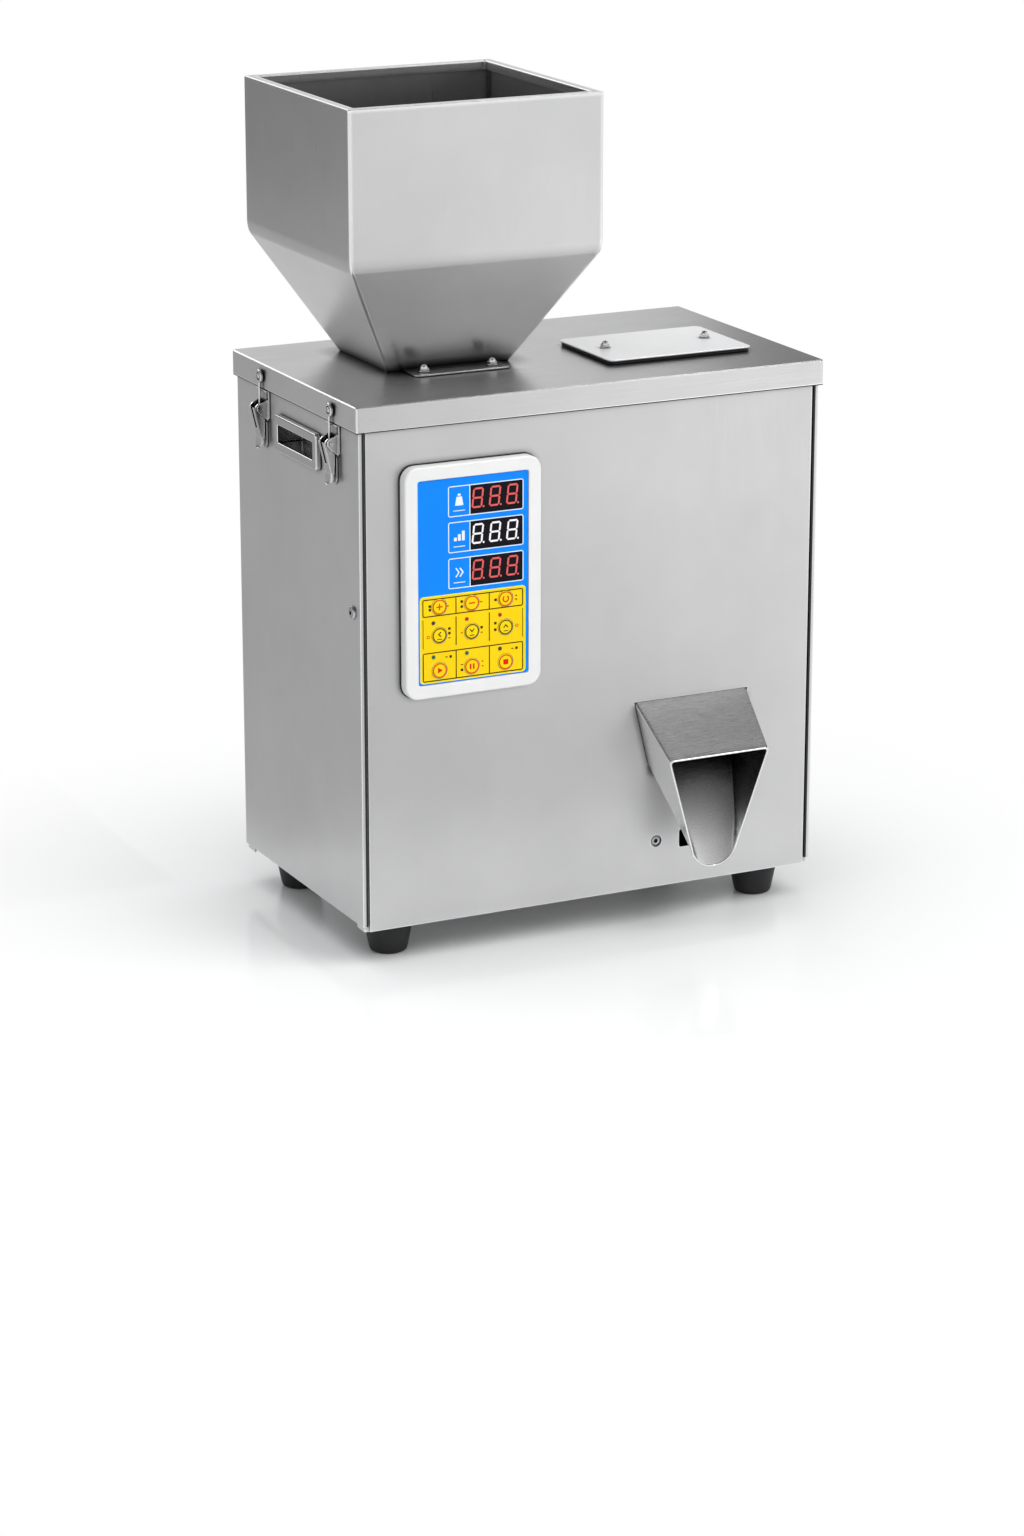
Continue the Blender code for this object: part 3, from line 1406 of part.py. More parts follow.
def build_hanger():
    """An angle bracket from the load cell's free end to the back of the bucket and the solenoid."""
    face = hanger_face()
    low = CELL_TOP + GAP
    path = [(face, BUCKET_TOP - 0.004), (face, low), (cell_y() + CELL_SIDE / 2, low)]
    outline = bent_sheet(path, HANGER_SHEET)
    x, _, _ = plunger_place()
    leg = prism(outline, "X", CELL_X + CELL_LENGTH / 2 - 0.022, x + SOLENOID_SIDE / 2)
    new_object("bucket_hanger", leg, steel())


def cell_y():
    return hanger_face() + HANGER_SHEET + 0.006 + CELL_SIDE / 2


def build_load_cell():
    """A single-point beam load cell with the double-hole cut-out that bends."""
    half = CELL_SIDE / 2
    y = cell_y()
    low = CELL_TOP - CELL_SIDE
    beam = new_object(
        "load_cell",
        box(
            (CELL_X - CELL_LENGTH / 2, y - half, low),
            (CELL_X + CELL_LENGTH / 2, y + half, CELL_TOP),
        ),
        aluminium(),
    )
    hole = 0.0042
    spread = 0.0075
    middle = CELL_TOP - half
    window = arc(CELL_X + spread, middle, hole, -math.pi * 0.62, math.pi * 0.62, 8)
    window += arc(CELL_X - spread, middle, hole, math.pi * 0.38, math.pi * 1.62, 8)
    cut(beam, "cell_window", prism(window, "Y", y - CELL_SIDE, y + CELL_SIDE))


def build_post():
    """A folded channel that stands on the base tray and carries the load cell's fixed end."""
    x = CELL_X - CELL_LENGTH / 2
    y = cell_y()
    half = POST_DEPTH / 2
    top = CELL_TOP - CELL_SIDE - GAP
    path = [(x + POST_LENGTH, y - half), (x, y - half), (x, y + half), (x + POST_LENGTH, y + half)]
    outline = bent_sheet(path, -POST_SHEET)
    post = new_object("load_cell_post", prism(outline, "Z", TRAY_TOP + GAP, top), steel())
    plate = box((x, y - half, top - POST_SHEET), (x + POST_LENGTH, y + half, top))
    unite(post, "post_top", plate)


def build_supply():
    """The switching power supply on the base tray, a closed box with a terminal step."""
    low = TRAY_TOP + GAP
    half_x = SUPPLY_WIDTH / 2
    half_y = SUPPLY_LENGTH / 2
    outline = [
        (SUPPLY_X - half_x, low),
        (SUPPLY_X + half_x, low),
        (SUPPLY_X + half_x, low + SUPPLY_HEIGHT),
        (SUPPLY_X - half_x + 0.014, low + SUPPLY_HEIGHT),
        (SUPPLY_X - half_x + 0.014, low + SUPPLY_HEIGHT * 0.4),
        (SUPPLY_X - half_x, low + SUPPLY_HEIGHT * 0.4),
    ]
    new_object("power_supply", prism(outline, "Y", SUPPLY_Y - half_y, SUPPLY_Y + half_y), aluminium())


def main():
    clear_scene()
    Machine.root = bpy.data.objects.new("machine", None)
    bpy.context.scene.collection.objects.link(Machine.root)
    Machine.root.location = (0, -CENTRE_Y, 0)
    build_base_tray()
    build_front_panel()
    build_back_panel()
    build_side_cover("left_side_cover", -1)
    build_side_cover("right_side_cover", 1)
    build_lid()
    build_feet()
    build_hopper()
    build_hatch()
    build_hopper_bolts()
    build_chute()
    build_chute_screw()
    build_funnel()
    build_handle("left_handle", -1)
    build_handle("right_handle", 1)
    build_latches()
    build_bezel()
    build_film()
    build_board()
    build_keys()
    build_inlet()
    build_rocker()
    build_feeder_tray()
    build_leaf_spring()
    build_drive()
    build_stand()
    build_bucket()
    build_flap()
    build_solenoid()
    build_hanger()
    build_load_cell()
    build_post()
    build_supply()


main()
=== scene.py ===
"""Granule filling machine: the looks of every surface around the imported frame, with a studio to show it in.
Everything is in metres in the frame of the CAD model: +Z up, the front panel faces -Y."""

import math

import bmesh
import bpy
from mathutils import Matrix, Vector
from mathutils.geometry import tessellate_polygon


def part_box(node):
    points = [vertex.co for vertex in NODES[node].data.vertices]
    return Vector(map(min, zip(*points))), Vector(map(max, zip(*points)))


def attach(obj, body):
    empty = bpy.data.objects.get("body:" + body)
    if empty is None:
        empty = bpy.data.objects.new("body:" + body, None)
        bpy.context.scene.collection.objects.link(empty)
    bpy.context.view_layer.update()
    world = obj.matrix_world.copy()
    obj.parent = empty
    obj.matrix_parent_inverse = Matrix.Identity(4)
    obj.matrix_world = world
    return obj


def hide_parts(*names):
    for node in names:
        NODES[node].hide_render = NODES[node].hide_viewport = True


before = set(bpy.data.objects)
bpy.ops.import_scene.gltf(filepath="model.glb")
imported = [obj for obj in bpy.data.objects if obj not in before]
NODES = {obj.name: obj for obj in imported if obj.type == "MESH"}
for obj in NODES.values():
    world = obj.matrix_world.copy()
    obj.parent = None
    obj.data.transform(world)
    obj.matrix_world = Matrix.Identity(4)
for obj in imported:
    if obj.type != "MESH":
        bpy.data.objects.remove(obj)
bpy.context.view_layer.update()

# Camera, from the fit to the photograph
CAMERA_PLACE = (-1.4853, -2.9963, 1.1492)
CAMERA_AZIMUTH = math.radians(-26.044)
CAMERA_ELEVATION = math.radians(17.300)
CAMERA_LENS = 100.5
SENSOR = 36.0

# Edge rounding
SHEET_EDGE = 0.0005
MERGE = 0.000001
FLAT_ANGLE = math.radians(0.5)
# Painted highlight along sharp edges: the radii that find them, the highlight colour and the tests that pick
# them; the edges are also smoother
EDGE_HIGHLIGHT_RADIUS = 0.0014
WIDE_BEND = 0.0040
CHUTE_BEND = 0.0022
PAINTED_EDGE_HIGHLIGHT = (1.0, 1.0, 1.0)
EDGE_SAMPLES = 6
EDGE_LIKENESS = (0.92, 0.992)
EDGE_ANGLE = math.radians(28)
EDGE_SMOOTHNESS = 0.4

# Cloudiness and depth of the grain
DARK_CLOUD, LIGHT_CLOUD = 0.95, 1.03
GRAIN_DEPTH = 0.0001
SKIN_DEPTH = 0.00008

# Shade in joints
JOINT_REACH = 0.007
JOINT_SAMPLES = 12
JOINT_OPENNESS = (0.15, 0.93)
JOINT_SHADE = (0.03, 0.03, 0.032)
LID_REACH = 0.018
FITTING_REACH = 0.010
HOPPER_REACH = 0.008
CHUTE_REACH = 0.012
# Painted shade inside the hopper and the chute: a centre, an axis, where the painted shade begins and where
# it is full, and its colour
HOPPER_INSIDE_SHADE = ((-0.0755, 0.0493, 0.560), "Z", 0.6568, 0.6560, (0.50, 0.50, 0.502))
CHUTE_INSIDE_SHADE = ((0.0886, -0.148, 0.130), "Y", -0.136, -0.104, (0.06, 0.06, 0.061))

# Studio
FLOOR_RADIUS = 6.0
FLOOR_STEPS = 96
FLOOR_COLOUR = (0.90, 0.90, 0.90)
FLOOR_ROUGHNESS = 0.12
FADE = (0.25, 0.58)
WALL_WHITE = 1.0
CEILING = 0.16
CEILING_START, CEILING_END = 0.20, 0.62
SOFT_LIGHT = 0.62
SOFT_COLOUR = (0.97, 0.985, 1.0, 1.0)
WHITE = (1.0, 1.0, 1.0, 1.0)


# Node helpers


def add_node(tree, kind, inputs=None, **settings):
    """A node with its settings; inputs gives a value or another node's output for each of its sockets."""
    made = tree.nodes.new(kind)
    for key, value in settings.items():
        setattr(made, key, value)
    set_inputs(tree, made, inputs or {})
    return made


def set_inputs(tree, node, inputs):
    for key, value in inputs.items():
        if isinstance(value, bpy.types.NodeSocket):
            tree.links.new(value, node.inputs[key])
        else:
            node.inputs[key].default_value = value


def new_material(name):
    made = bpy.data.materials.new(name)
    made.use_nodes = True
    return made, made.node_tree, made.node_tree.nodes["Principled BSDF"]


def object_coordinates(tree, scale=(1, 1, 1)):
    """The object's own coordinates, stretched by scale."""
    source = add_node(tree, "ShaderNodeTexCoord").outputs["Object"]
    return add_node(tree, "ShaderNodeMapping", {"Vector": source, "Scale": scale}).outputs["Vector"]


def noise(tree, scale, detail, roughness=0.6, stretch=(1, 1, 1)):
    made = add_node(tree, "ShaderNodeTexNoise", {"Vector": object_coordinates(tree, stretch),
                                                 "Scale": scale, "Detail": detail, "Roughness": roughness})
    return made.outputs["Fac"]


def ramp(tree, value, low, high, from_low=0.3, from_high=0.7):
    """A number that follows value, between low and high."""
    made = add_node(tree, "ShaderNodeMapRange", {"Value": value, "From Min": from_low, "From Max": from_high,
                                                 "To Min": low, "To Max": high})
    return made.outputs["Result"]


def mottled(tree, value, dark, light):
    """A colour that follows value, between dark and light."""
    made = add_node(tree, "ShaderNodeValToRGB", {"Fac": value})
    for element, place, colour in zip(made.color_ramp.elements, (0.3, 0.7), (dark, light)):
        element.position = place
        element.color = (*colour, 1.0)
    return made.outputs["Color"]


def bump(tree, height, strength, distance):
    made = add_node(tree, "ShaderNodeBump", {"Height": height, "Strength": strength, "Distance": distance})
    return made.outputs["Normal"]


def along_face(tree, vector):
    """How far a vector points the way of the face."""
    face = add_node(tree, "ShaderNodeNewGeometry").outputs["True Normal"]
    made = add_node(tree, "ShaderNodeVectorMath", {0: vector, 1: face}, operation="DOT_PRODUCT")
    return made.outputs["Value"]


def edge_share(tree, radius):
    """1 along sharp edges, which get a painted highlight in their colour and a smoother finish, 0 on the
    faces.
    """
    rounded_normal = add_node(tree, "ShaderNodeBevel", {"Radius": radius}, samples=EDGE_SAMPLES)
    return ramp(tree, along_face(tree, rounded_normal.outputs[0]), 1.0, 0.0, *EDGE_LIKENESS)


def joint_share(tree, reach):
    """1 deep in the joints where another surface comes within reach, 0 on open faces."""
    near = add_node(tree, "ShaderNodeAmbientOcclusion", {"Distance": reach}, samples=JOINT_SAMPLES)
    return ramp(tree, near.outputs["AO"], 1.0, 0.0, *JOINT_OPENNESS)


def inner_share(tree, centre, axis, near, far):
    """Rises from near to far along an axis on faces that look towards the centre; 0 on the others."""
    place = object_coordinates(tree)
    outwards = add_node(tree, "ShaderNodeVectorMath", {0: place, 1: centre}, operation="SUBTRACT")
    inner = ramp(tree, along_face(tree, outwards.outputs[0]), 1.0, 0.0, -0.002, 0.0)
    along = add_node(tree, "ShaderNodeSeparateXYZ", {0: place}).outputs[axis]
    low, high = min(near, far), max(near, far)
    depth = ramp(tree, along, float(far == low), float(far == high), low, high)
    return add_node(tree, "ShaderNodeMath", {0: inner, 1: depth}, operation="MULTIPLY").outputs[0]


def blend_colours(tree, share, first, second):
    """The first colour where share is 0 and the second, a fixed one, where it is 1."""
    sockets = {"Factor": share, "A": first, "B": (*second, 1.0)}
    return add_node(tree, "ShaderNodeMix", sockets, data_type="RGBA").outputs["Result"]


def darker(colour, share):
    return tuple(part * share for part in colour)


# Materials


def brushed(name, colour, roughness, grain, spread=0.06, strength=0.06, reach=JOINT_REACH, inside_shade=None,
            bend=EDGE_HIGHLIGHT_RADIUS, metal=1.0):
    """Brushed sheet metal: fine lines along the axis where grain is small, a faint cloudiness, a painted
    highlight along the edges, which are also smoother, and painted shade in the joints. Inside shade gives a
    centre, an axis, where along it the faces that look towards the centre begin to take painted shade and are
    fully shaded, and the shade colour."""
    made, tree, shader = new_material(name)
    lines = noise(tree, 1.0, 6.0, 0.7, grain)
    light = tuple(min(part * LIGHT_CLOUD, 1.0) for part in colour)
    face = mottled(tree, noise(tree, 9.0, 3.0), darker(colour, DARK_CLOUD), light)
    edge = edge_share(tree, bend)
    # Painted highlight: the colour turns white along sharp edges
    painted_light_colour = blend_colours(tree, edge, face, PAINTED_EDGE_HIGHLIGHT)
    if inside_shade:
        *where, shade_colour = inside_shade
        # Painted shade on the inner faces, deeper in
        painted_light_colour = blend_colours(tree, inner_share(tree, *where), painted_light_colour, shade_colour)
    rough = ramp(tree, lines, roughness - spread, roughness + spread)
    terms = {0: edge, 1: -roughness * EDGE_SMOOTHNESS, 2: rough}
    smoother = add_node(tree, "ShaderNodeMath", terms, operation="MULTIPLY_ADD")
    set_inputs(tree, shader, {
        "Base Color": blend_colours(tree, joint_share(tree, reach), painted_light_colour, JOINT_SHADE),
        "Roughness": smoother.outputs[0],
        "Metallic": metal,
        "Normal": bump(tree, lines, strength, GRAIN_DEPTH),
    })
    return made


def moulded(name, colour, roughness, scale=900.0, strength=0.15, sheen=0.5):
    """Moulded plastic or rubber with a fine skin; sheen is the level of its clear reflection."""
    made, tree, shader = new_material(name)
    grain = noise(tree, scale, 3.0)
    set_inputs(tree, shader, {
        "Base Color": mottled(tree, noise(tree, 25.0, 2.0), darker(colour, DARK_CLOUD), colour),
        "Roughness": ramp(tree, grain, roughness - 0.05, roughness + 0.05),
        "Specular IOR Level": sheen,
        "Normal": bump(tree, grain, strength, SKIN_DEPTH),
    })
    return made


def film_ink(name, colour):
    """A colour of the matt printed film."""
    return moulded(name, colour, 0.38, 1400.0, 0.10, 0.12)


def lit_digit(name, colour, glow):
    """A lit segment of a display under its dark window."""
    made, tree, shader = new_material(name)
    set_inputs(tree, shader, {
        "Base Color": mottled(tree, noise(tree, 700.0, 2.0), darker(colour, 0.85), colour),
        "Roughness": 0.3,
        "Emission Color": (*colour, 1.0),
        "Emission Strength": glow,
    })
    return made


STEEL = (0.615, 0.615, 0.618)
HATCH_METAL = 0.45
SHEET_STEEL = brushed("sheet_brushed_steel", STEEL, 0.35, (900, 900, 20), 0.05, 0.03)
LID_STEEL = brushed("lid_brushed_steel", STEEL, 0.30, (20, 1100, 1100), 0.04, 0.03, LID_REACH)
HOPPER_STEEL = brushed("hopper_brushed_steel", STEEL, 0.31, (900, 900, 20), 0.04, 0.015, reach=HOPPER_REACH,
                       inside_shade=HOPPER_INSIDE_SHADE, bend=WIDE_BEND)
CHUTE_STEEL = brushed("chute_brushed_steel", (0.75, 0.75, 0.753), 0.27, (60, 2600, 2600), 0.02, 0.006,
                      CHUTE_REACH, CHUTE_INSIDE_SHADE, CHUTE_BEND)
BRIGHT_STEEL = brushed("bright_steel", (0.50, 0.50, 0.505), 0.20, (90, 90, 90), 0.04, 0.03, FITTING_REACH)
SPRING_STEEL = brushed("spring_steel", (0.35, 0.36, 0.38), 0.30, (12, 300, 300))
NUT_STEEL = brushed("nut_steel", (0.74, 0.74, 0.75), 0.20, (60, 60, 60), 0.04, 0.03)
HATCH_STEEL = brushed("hatch_brushed_steel", (0.90, 0.90, 0.905), 0.40, (20, 900, 900), 0.04, 0.03,
                      metal=HATCH_METAL)
# Painted shade: the inner funnel deep in the body is steel darkened to stand in for the shade it lies in
SHADED_FUNNEL_STEEL = brushed("shaded_inner_steel", (0.16, 0.16, 0.165), 0.45, (30, 30, 200))
ALUMINIUM = brushed("milled_aluminium", (0.66, 0.67, 0.68), 0.40, (40, 400, 400))
RUBBER = moulded("black_rubber", (0.014, 0.014, 0.015), 0.50, sheen=0.35)
WHITE_PLASTIC = moulded("white_plastic", (0.84, 0.84, 0.83), 0.32, 500.0, 0.06)
BLUE_FILM = film_ink("blue_film", (0.0, 0.25, 1.0))
YELLOW_KEY = film_ink("yellow_key", (1.0, 0.70, 0.0))
WHITE_INK = film_ink("white_ink", (0.86, 0.94, 1.0))
YELLOW_INK = film_ink("yellow_ink", (1.0, 0.68, 0.0))
PALE_YELLOW_INK = film_ink("pale_yellow_ink", (1.0, 0.86, 0.03))
DARK_INK = film_ink("dark_ink", (0.030, 0.018, 0.004))
BROWN_INK = film_ink("brown_ink", (0.09, 0.035, 0.0))
RED_INK = film_ink("red_ink", (0.70, 0.02, 0.0))
DISPLAY_BLACK = film_ink("display_black", (0.004, 0.003, 0.006))
RED_LAMP = moulded("red_lamp", (0.45, 0.01, 0.01), 0.12, 40.0, 0.01)
GREEN_LAMP = moulded("green_lamp", (0.01, 0.13, 0.08), 0.12, 40.0, 0.01)
DARK_LAMP = moulded("dark_lamp", (0.03, 0.035, 0.04), 0.12, 40.0, 0.01)
BLACK_PLASTIC = moulded("black_plastic", (0.025, 0.025, 0.026), 0.40)
BOARD_GREEN = moulded("circuit_board", (0.02, 0.16, 0.06), 0.45)
RED_DIGIT = lit_digit("red_digit", (0.66, 0.08, 0.08), 0.22)
WHITE_DIGIT = lit_digit("white_digit", (0.85, 0.83, 0.86), 0.20)
PAINTED_IRON = moulded("painted_iron", (0.10, 0.14, 0.20), 0.45)

FINISH = {
    "sheet_steel": SHEET_STEEL,
    "bright_steel": BRIGHT_STEEL,
    "spring_steel": SPRING_STEEL,
    "aluminium": ALUMINIUM,
    "black_rubber": RUBBER,
    "white_plastic": WHITE_PLASTIC,
    "printed_film": BLUE_FILM,
    "key_film": YELLOW_KEY,
    "black_plastic": BLACK_PLASTIC,
    "circuit_board": BOARD_GREEN,
    "painted_iron": PAINTED_IRON,
}
FINISH_OF_NODE = {
    "lid": LID_STEEL,
    "inner_funnel": SHADED_FUNNEL_STEEL,
    "adjuster_screw": SPRING_STEEL,
}
EDGE_OF_NODE = {"lid": 0.0016}


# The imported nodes: joined faces, rounded edges, soft shading and a finish of their own


def new_group(name):
    """An empty group of geometry nodes with a way in and a way out."""
    group = bpy.data.node_groups.new(name, "GeometryNodeTree")
    for way in ("INPUT", "OUTPUT"):
        group.interface.new_socket("Geometry", in_out=way, socket_type="NodeSocketGeometry")
    return group, add_node(group, "NodeGroupInput").outputs[0]


def joined_group():
    """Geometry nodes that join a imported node's loose faces and let its smooth faces shade smoothly."""
    group, source = new_group("joined_faces")
    merge = add_node(group, "GeometryNodeMergeByDistance", {"Geometry": source, "Distance": MERGE})
    marked = {"Geometry": merge.outputs[0], "Name": "custom_normal"}
    clear = add_node(group, "GeometryNodeRemoveAttribute", marked)
    add_node(group, "NodeGroupOutput", {0: clear.outputs[0]})
    return group


def smooth_group():
    """Geometry nodes that shade smoothly over every edge flatter than the edge angle."""
    group, source = new_group("smooth_over_flat_edges")
    faces = add_node(group, "GeometryNodeSetShadeSmooth", {"Geometry": source}, domain="FACE")
    angle = add_node(group, "GeometryNodeInputMeshEdgeAngle").outputs["Unsigned Angle"]
    sharp = add_node(group, "FunctionNodeCompare", {"A": angle, "B": EDGE_ANGLE}, operation="GREATER_THAN")
    chosen = {"Geometry": faces.outputs[0], "Selection": sharp.outputs["Result"], "Shade Smooth": False}
    edges = add_node(group, "GeometryNodeSetShadeSmooth", chosen, domain="EDGE")
    add_node(group, "NodeGroupOutput", {0: edges.outputs[0]})
    return group


JOINED = joined_group()
SMOOTHED = smooth_group()
SOFT_EDGES = {"limit_method": "ANGLE", "angle_limit": EDGE_ANGLE, "harden_normals": True}


def add_modifier(made, name, kind, **settings):
    modifier = made.modifiers.new(name, kind)
    for key, value in settings.items():
        setattr(modifier, key, value)


def round_edges(node, width, segments):
    """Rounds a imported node's edges by width with modifiers, and leaves its mesh as it is."""
    add_modifier(node, "joined", "NODES", node_group=JOINED)
    add_modifier(node, "flat_faces", "DECIMATE", decimate_type="DISSOLVE", angle_limit=FLAT_ANGLE)
    add_modifier(node, "soft", "NODES", node_group=SMOOTHED)
    add_modifier(node, "edges", "BEVEL", width=width, segments=segments, **SOFT_EDGES)
    add_modifier(node, "even", "WEIGHTED_NORMAL", keep_sharp=True, weight=100)


def finish_nodes():
    for name, node in NODES.items():
        slot = node.data.materials[0].name
        node.material_slots[0].link = "OBJECT"
        node.material_slots[0].material = FINISH_OF_NODE.get(name, FINISH[slot])
        round_edges(node, EDGE_OF_NODE.get(name, SHEET_EDGE), 3 if name in EDGE_OF_NODE else 2)


finish_nodes()


# Mesh helpers


def rounded(centre, size, radius, steps=6):
    """Counterclockwise outline of a rectangle with round corners."""
    (cx, cy), (width, height) = centre, size
    points = []
    for turn, (sx, sy) in enumerate(((1, 1), (-1, 1), (-1, -1), (1, -1))):
        mx = cx + sx * (width / 2 - radius)
        my = cy + sy * (height / 2 - radius)
        for i in range(steps + 1):
            angle = math.pi / 2 * (turn + i / steps)
            points.append((mx + radius * math.cos(angle), my + radius * math.sin(angle)))
    return points


def circle(centre, radius, steps=32):
    turns = [2 * math.pi * i / steps for i in range(steps)]
    return [(centre[0] + radius * math.cos(t), centre[1] + radius * math.sin(t)) for t in turns]


def stroke(points, width):
    """Outline of a line of the given width through the points."""
    spots = [Vector(p) for p in points]
    left, right = [], []
    for i, spot in enumerate(spots):
        before = (spot - spots[i - 1]).normalized() if i else (spots[1] - spot).normalized()
        after = (spots[i + 1] - spot).normalized() if i + 1 < len(spots) else before
        along = (before + after).normalized()
        across = Vector((-along.y, along.x)) * (width / 2 / max(along.dot(before), 0.3))
        left.append(tuple(spot + across))
        right.append(tuple(spot - across))
    return right + left[::-1]


def skin(bm, rings, loop=True, cap=False):
    """Joins rings of as many points each; loop joins the last ring to the first, cap closes both ends."""
    made = [[bm.verts.new(p) for p in ring] for ring in rings]
    pairs = list(zip(made, made[1:])) + ([(made[-1], made[0])] if loop else [])
    count = len(rings[0])
    for ring, following in pairs:
        for i in range(count):
            j = (i + 1) % count
            bm.faces.new((ring[i], ring[j], following[j], following[i]))
    if cap:
        bm.faces.new(made[0][::-1])
        bm.faces.new(made[-1])


def add_slab(bm, outline, low, high, place):
    """A closed plate between two heights; place(u, v, w) puts an outline point at a height."""
    skin(bm, [[place(u, v, w) for u, v in outline] for w in (low, high)], loop=False, cap=True)


def add_band(bm, outer, inner, low, high, place):
    """A closed frame between an outer and an inner outline of as many points."""
    levels = ((outer, low), (outer, high), (inner, high), (inner, low))
    skin(bm, [[place(u, v, w) for u, v in outline] for outline, w in levels])


def add_holed_slab(bm, outline, holes, low, high, place):
    """A closed plate with holes through it."""
    loops = [outline] + [hole[::-1] for hole in holes]
    flat = [[Vector((u, v, 0)) for u, v in loop] for loop in loops]
    points = [p for loop in loops for p in loop]
    bottom = [bm.verts.new(place(u, v, low)) for u, v in points]
    top = [bm.verts.new(place(u, v, high)) for u, v in points]
    for corners in tessellate_polygon(flat):
        bm.faces.new([top[i] for i in corners])
        bm.faces.new([bottom[i] for i in corners[::-1]])
    start = 0
    for loop in loops:
        for i in range(len(loop)):
            a, b = start + i, start + (i + 1) % len(loop)
            bm.faces.new((bottom[a], bottom[b], top[b], top[a]))
        start += len(loop)


def six_sided(radius, steps):
    """A hexagon with as many points as a circle of steps, so that the two can be joined."""
    side = math.tau / 6
    outline = []
    for u, v in circle((0, 0), 1, steps):
        turn = math.atan2(v, u) % side
        reach = radius * math.cos(side / 2) / math.cos(turn - side / 2)
        outline.append((u * reach, v * reach))
    return outline


def add_spun(bm, profile, place, steps=32, hexagons=()):
    """A round body from a profile of (radius, height) points; place(u, v, w) puts it. Hexagons are the
    numbers of the points whose rings have six sides."""
    rings = []
    for index, (radius, height) in enumerate(profile):
        outline = six_sided(radius, steps) if index in hexagons else circle((0, 0), radius, steps)
        rings.append([bm.verts.new(place(u, v, height)) for u, v in (outline if radius else [(0, 0)])])
    for low, high in zip(rings, rings[1:]):
        for i in range(steps):
            j = (i + 1) % steps
            loop = [low[i % len(low)], low[j % len(low)], high[j % len(high)], high[i % len(high)]]
            bm.faces.new(list(dict.fromkeys(loop)))
    for ring in (rings[0][::-1], rings[-1]):
        if len(ring) > 1:
            bm.faces.new(ring)


def upright(u, v, w):
    return Vector((u, v, w))


def piece(name, bm, finish, body, smooth=True):
    """A piece of the model that moves with a body and takes its finish from a slot."""
    bmesh.ops.recalc_face_normals(bm, faces=bm.faces)
    mesh = bpy.data.meshes.new(name)
    bm.to_mesh(mesh)
    bm.free()
    mesh.materials.append(finish)
    if smooth:
        mesh.shade_smooth()
        mesh.set_sharp_from_angle(angle=EDGE_ANGLE)
    made = bpy.data.objects.new(name, mesh)
    bpy.context.scene.collection.objects.link(made)
    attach(made, body)
    return made


# Control panel: the print on the film, the lit digits and the signs on the keys

FILM_LOW, FILM_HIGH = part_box("control_film")
PRINT_FACE = FILM_LOW.y
PANEL_X = (FILM_LOW.x + FILM_HIGH.x) / 2
PANEL_Z = (FILM_LOW.z + FILM_HIGH.z) / 2
INK = 0.00004
INK_ROOT = 0.00003
ROW_Z = (0.0624, 0.0341, 0.0056)
FRAME_LEFT, FRAME_RIGHT = -0.0214, 0.0428
FRAME_DIVIDER = -0.0033
FRAME_HEIGHT = 0.0242
FRAME_LINE = 0.0007
DIGIT_FIRST = 0.0037
DIGIT_PITCH = 0.0147
DIGIT_WIDTH = 0.0092
DIGIT_HEIGHT = 0.0160
DIGIT_STROKE = 0.0015
DIGIT_LEAN = 0.11
DIGIT_RISE = 0.0010
FIELD = ((-0.0458, 0.0446), (-0.0798, -0.0103))
CELL_EDGES = (-0.0436, -0.0151, 0.0134, 0.0425)
CELL_TOP, CELL_ROW_1, CELL_ROW_2, CELL_BOTTOM = -0.0125, -0.0267, -0.05515, -0.0784
CELL_SPLIT = (CELL_ROW_2 + 0.0035, CELL_ROW_1 - 0.0020)
CELL_LINE = 0.000875
KEY_COLUMNS = (-0.0293, -0.0017, 0.0273)
KEY_ROWS = (-0.0194, -0.0421, -0.0701)
KEY_HOLE = 0.0068
KEY_RING = 0.0059
KEY_RING_LINE = 0.00091
SIGN_LINE = 0.00108


def on_face(x, face, z, layer=0):
    """Puts an outline's points and a height, on top of layers of ink, on an upright face round (x, z)."""

    def place(u, v, w):
        return Vector((x + u, face - (w + layer * INK), z + v))

    return place


def add_print(bm, shape, place):
    """Ink inside an outline, or between the two outlines of a tuple."""
    if isinstance(shape, tuple):
        add_band(bm, *shape, -INK_ROOT, INK, place)
    else:
        add_slab(bm, shape, -INK_ROOT, INK, place)


def print_shapes(name, shapes, finish, layer):
    bm = bmesh.new()
    for shape in shapes:
        add_print(bm, shape, on_face(PANEL_X, PRINT_FACE, PANEL_Z, layer))
    piece(name, bm, finish, "machine", smooth=False)


def box_outline(left, right, bottom, top, radius):
    return rounded(((left + right) / 2, (bottom + top) / 2), (right - left, top - bottom), radius)


def ring_frame(left, right, bottom, top, radius, line):
    outer = box_outline(left, right, bottom, top, radius)
    inner = box_outline(left + line, right - line, bottom + line, top - line, radius - line)
    return outer, inner


def digit_segments(x, z):
    """The seven bars of a leaning figure eight and its point."""
    half_w = (DIGIT_WIDTH - DIGIT_STROKE) / 2
    half_h = (DIGIT_HEIGHT - DIGIT_STROKE) / 2
    tip = DIGIT_STROKE * 0.5
    gap = DIGIT_STROKE * 0.12
    bars = [((-half_w, h), (half_w, h)) for h in (-half_h, 0, half_h)]
    bars += [((s * half_w, low), (s * half_w, low + half_h)) for s in (-1, 1) for low in (-half_h, 0)]
    outlines = []
    for (x0, z0), (x1, z1) in bars:
        start, end = Vector((x0, z0)), Vector((x1, z1))
        along = (end - start).normalized()
        side = Vector((-along.y, along.x)) * DIGIT_STROKE / 2
        a = start + along * gap
        b = end - along * gap
        corners = [a, a + along * tip - side, b - along * tip - side, b, b - along * tip + side,
                   a + along * tip + side]
        outlines.append([(x + c.x + DIGIT_LEAN * c.y, z + c.y) for c in corners])
    point = (x + half_w + DIGIT_STROKE * 1.25 - DIGIT_LEAN * half_h, z - half_h)
    outlines.append(circle(point, DIGIT_STROKE * 0.55, 16))
    return outlines


